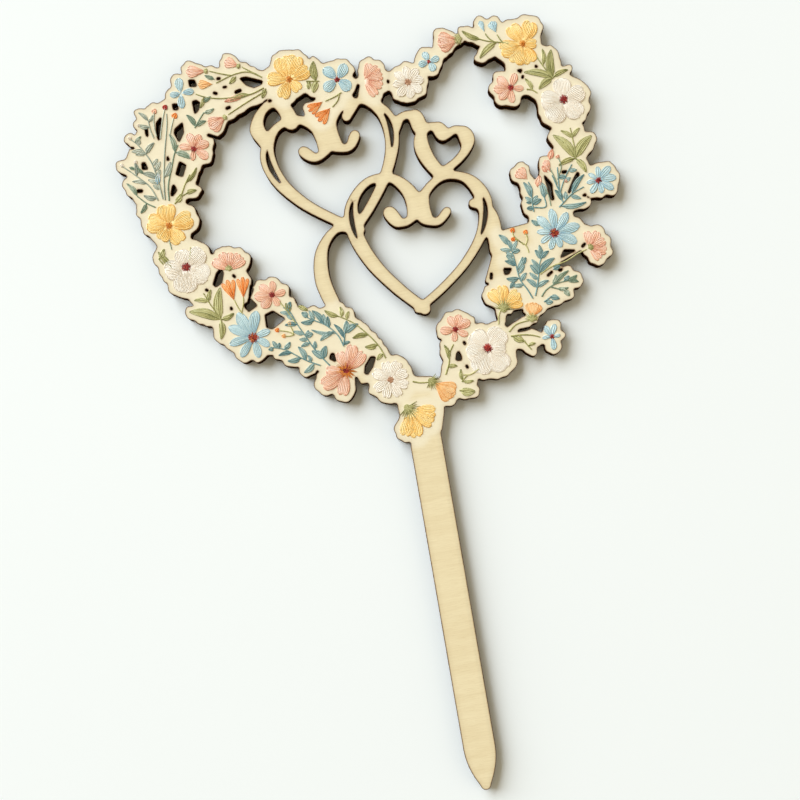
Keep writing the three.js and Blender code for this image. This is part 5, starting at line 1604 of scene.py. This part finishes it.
class TOPPER_OT_set_stage(bpy.types.Operator):
    """Set the ground, the floor, the lights and the camera"""
    bl_idname = "topper.set_stage"
    bl_label = "Set the stage"

    def execute(self, context):
        stage = context.scene.topper_stage
        front = wood_front(context.scene.topper_wood) * MM
        back, low = CARD_GAP - front, cad_box[0][2] - FLOOR_GAP
        card = self.add_sheet("ground_card", ground_material(stage), [
            (-SHEET, back, SHEET), (-SHEET, back, -SHEET),
            (SHEET, back, -SHEET), (SHEET, back, SHEET)])
        card.visible_glossy = card.visible_transmission = card.visible_shadow = False
        self.add_sheet("pale_floor", floor_material(stage), [
            (-SHEET, back, low), (SHEET, back, low), (SHEET, SHEET, low), (-SHEET, SHEET, low)])
        self.add_lights(stage)
        self.add_camera(stage, front)
        context.scene.world = self.make_world(stage)
        context.scene.view_settings.view_transform = "Standard"
        return {"FINISHED"}

    def make_world(self, stage):
        """Light from all round, and a pale surround where the camera looks past the card."""
        world = bpy.data.worlds.new("studio")
        world.use_nodes = True
        graph = Graph(world.node_tree)
        air, seen = (graph.node("ShaderNodeBackground", {"Color": (*shade, 1), "Strength": level})
                     for shade, level in ((stage.air, stage.sky), (stage.ground, SURROUND)))
        ray = graph.node("ShaderNodeLightPath").outputs["Is Camera Ray"]
        mixed = graph.node("ShaderNodeMixShader", {0: ray, 1: air.outputs[0], 2: seen.outputs[0]})
        graph.feed(world.node_tree.nodes["World Output"], {"Surface": mixed.outputs[0]})
        return world

    def add_sheet(self, name, material, corners):
        mesh = bpy.data.meshes.new(name)
        mesh.from_pydata(corners, [], [(0, 1, 2, 3)])
        mesh.materials.append(material)
        sheet = add_piece(name, mesh)
        return sheet

    def add_lights(self, stage):
        """A wide key from the upper left, a weak warm fill, and light for the back alone."""
        left = np.array([-math.cos(stage.turn), 0, math.sin(stage.turn)])
        up = np.array([math.sin(stage.turn), 0, math.cos(stage.turn)])
        for name, way, energy, size, shade in (
            ("soft_key", 0.72 * left + 0.52 * up - (0, 0.42, 0), stage.key, KEY_WIDTH,
             stage.lamp),
            ("warm_fill", -0.9 * left - 0.15 * up - (0, 0.38, 0), stage.fill, FILL_WIDTH,
             stage.warmth),
        ):
            lamp = bpy.data.lights.new(name, "AREA")
            lamp.energy, lamp.size, lamp.color = energy, size, shade
            way /= np.linalg.norm(way)
            self.add_lamp(lamp, way * LAMP_DISTANCE + (0, 0, 0.05), way)
        glow = bpy.data.lights.new("back_fill", "SUN")
        glow.energy, glow.angle = stage.back, math.radians(2)
        self.add_lamp(glow, (0, 1, 0.1), (0, 1, 0))

    def add_lamp(self, lamp, where, towards):
        thing = add_piece(lamp.name, lamp)
        thing.location = where
        thing.rotation_euler = Vector(towards).to_track_quat("Z", "Y").to_euler()

    def add_camera(self, stage, front):
        """The photo's own view, turned as the topper lies in it."""
        eye = bpy.data.cameras.new("photo_view")
        eye.lens, eye.sensor_width = stage.lens, 36
        eye.shift_x, eye.shift_y = -0.0375, 0.1
        eye.clip_start = 0.01
        camera = add_piece("photo_view", eye)
        across, down = math.cos(stage.turn), math.sin(stage.turn)
        axes = Matrix(((across, down, 0), (0, 0, -1), (-down, across, 0)))
        where = Matrix.Translation((stage.aim_x, front - stage.distance, stage.aim_z))
        camera.matrix_world = where @ axes.to_4x4()
        bpy.context.scene.camera = camera


class TOPPER_PT_panel(bpy.types.Panel):
    """Lists what this file can make"""
    bl_idname = "TOPPER_PT_panel"
    bl_label = "Topper"
    bl_space_type = "VIEW_3D"
    bl_region_type = "UI"
    bl_category = "Topper"

    def draw(self, context):
        for operator in OPERATORS:
            self.layout.operator(operator.bl_idname)
        for name in ("topper_wood", "topper_print", "topper_stage"):
            group = getattr(context.scene, name)
            box = self.layout.box()
            for key in group.bl_rna.properties.keys():
                if key not in ("rna_type", "name"):
                    box.prop(group, key)


GROUPS = {"topper_wood": WoodSettings, "topper_print": PrintSettings, "topper_stage": StageSettings}
OPERATORS = (
    TOPPER_OT_cut_wood,
    TOPPER_OT_print_blossoms,
    TOPPER_OT_print_buds,
    TOPPER_OT_print_sprigs,
    TOPPER_OT_print_fine,
    TOPPER_OT_set_stamens,
    TOPPER_OT_set_stage,
)


def register():
    for item in (*GROUPS.values(), *OPERATORS, TOPPER_PT_panel):
        bpy.utils.register_class(item)
    for name, group in GROUPS.items():
        setattr(bpy.types.Scene, name, bpy.props.PointerProperty(type=group))


def unregister():
    for name in GROUPS:
        delattr(bpy.types.Scene, name)
    for item in reversed((*GROUPS.values(), *OPERATORS, TOPPER_PT_panel)):
        bpy.utils.unregister_class(item)


def main():
    register()
    for operator in OPERATORS:
        getattr(bpy.ops.topper, operator.bl_idname.split(".")[1])()


if __name__ == "__main__":
    main()
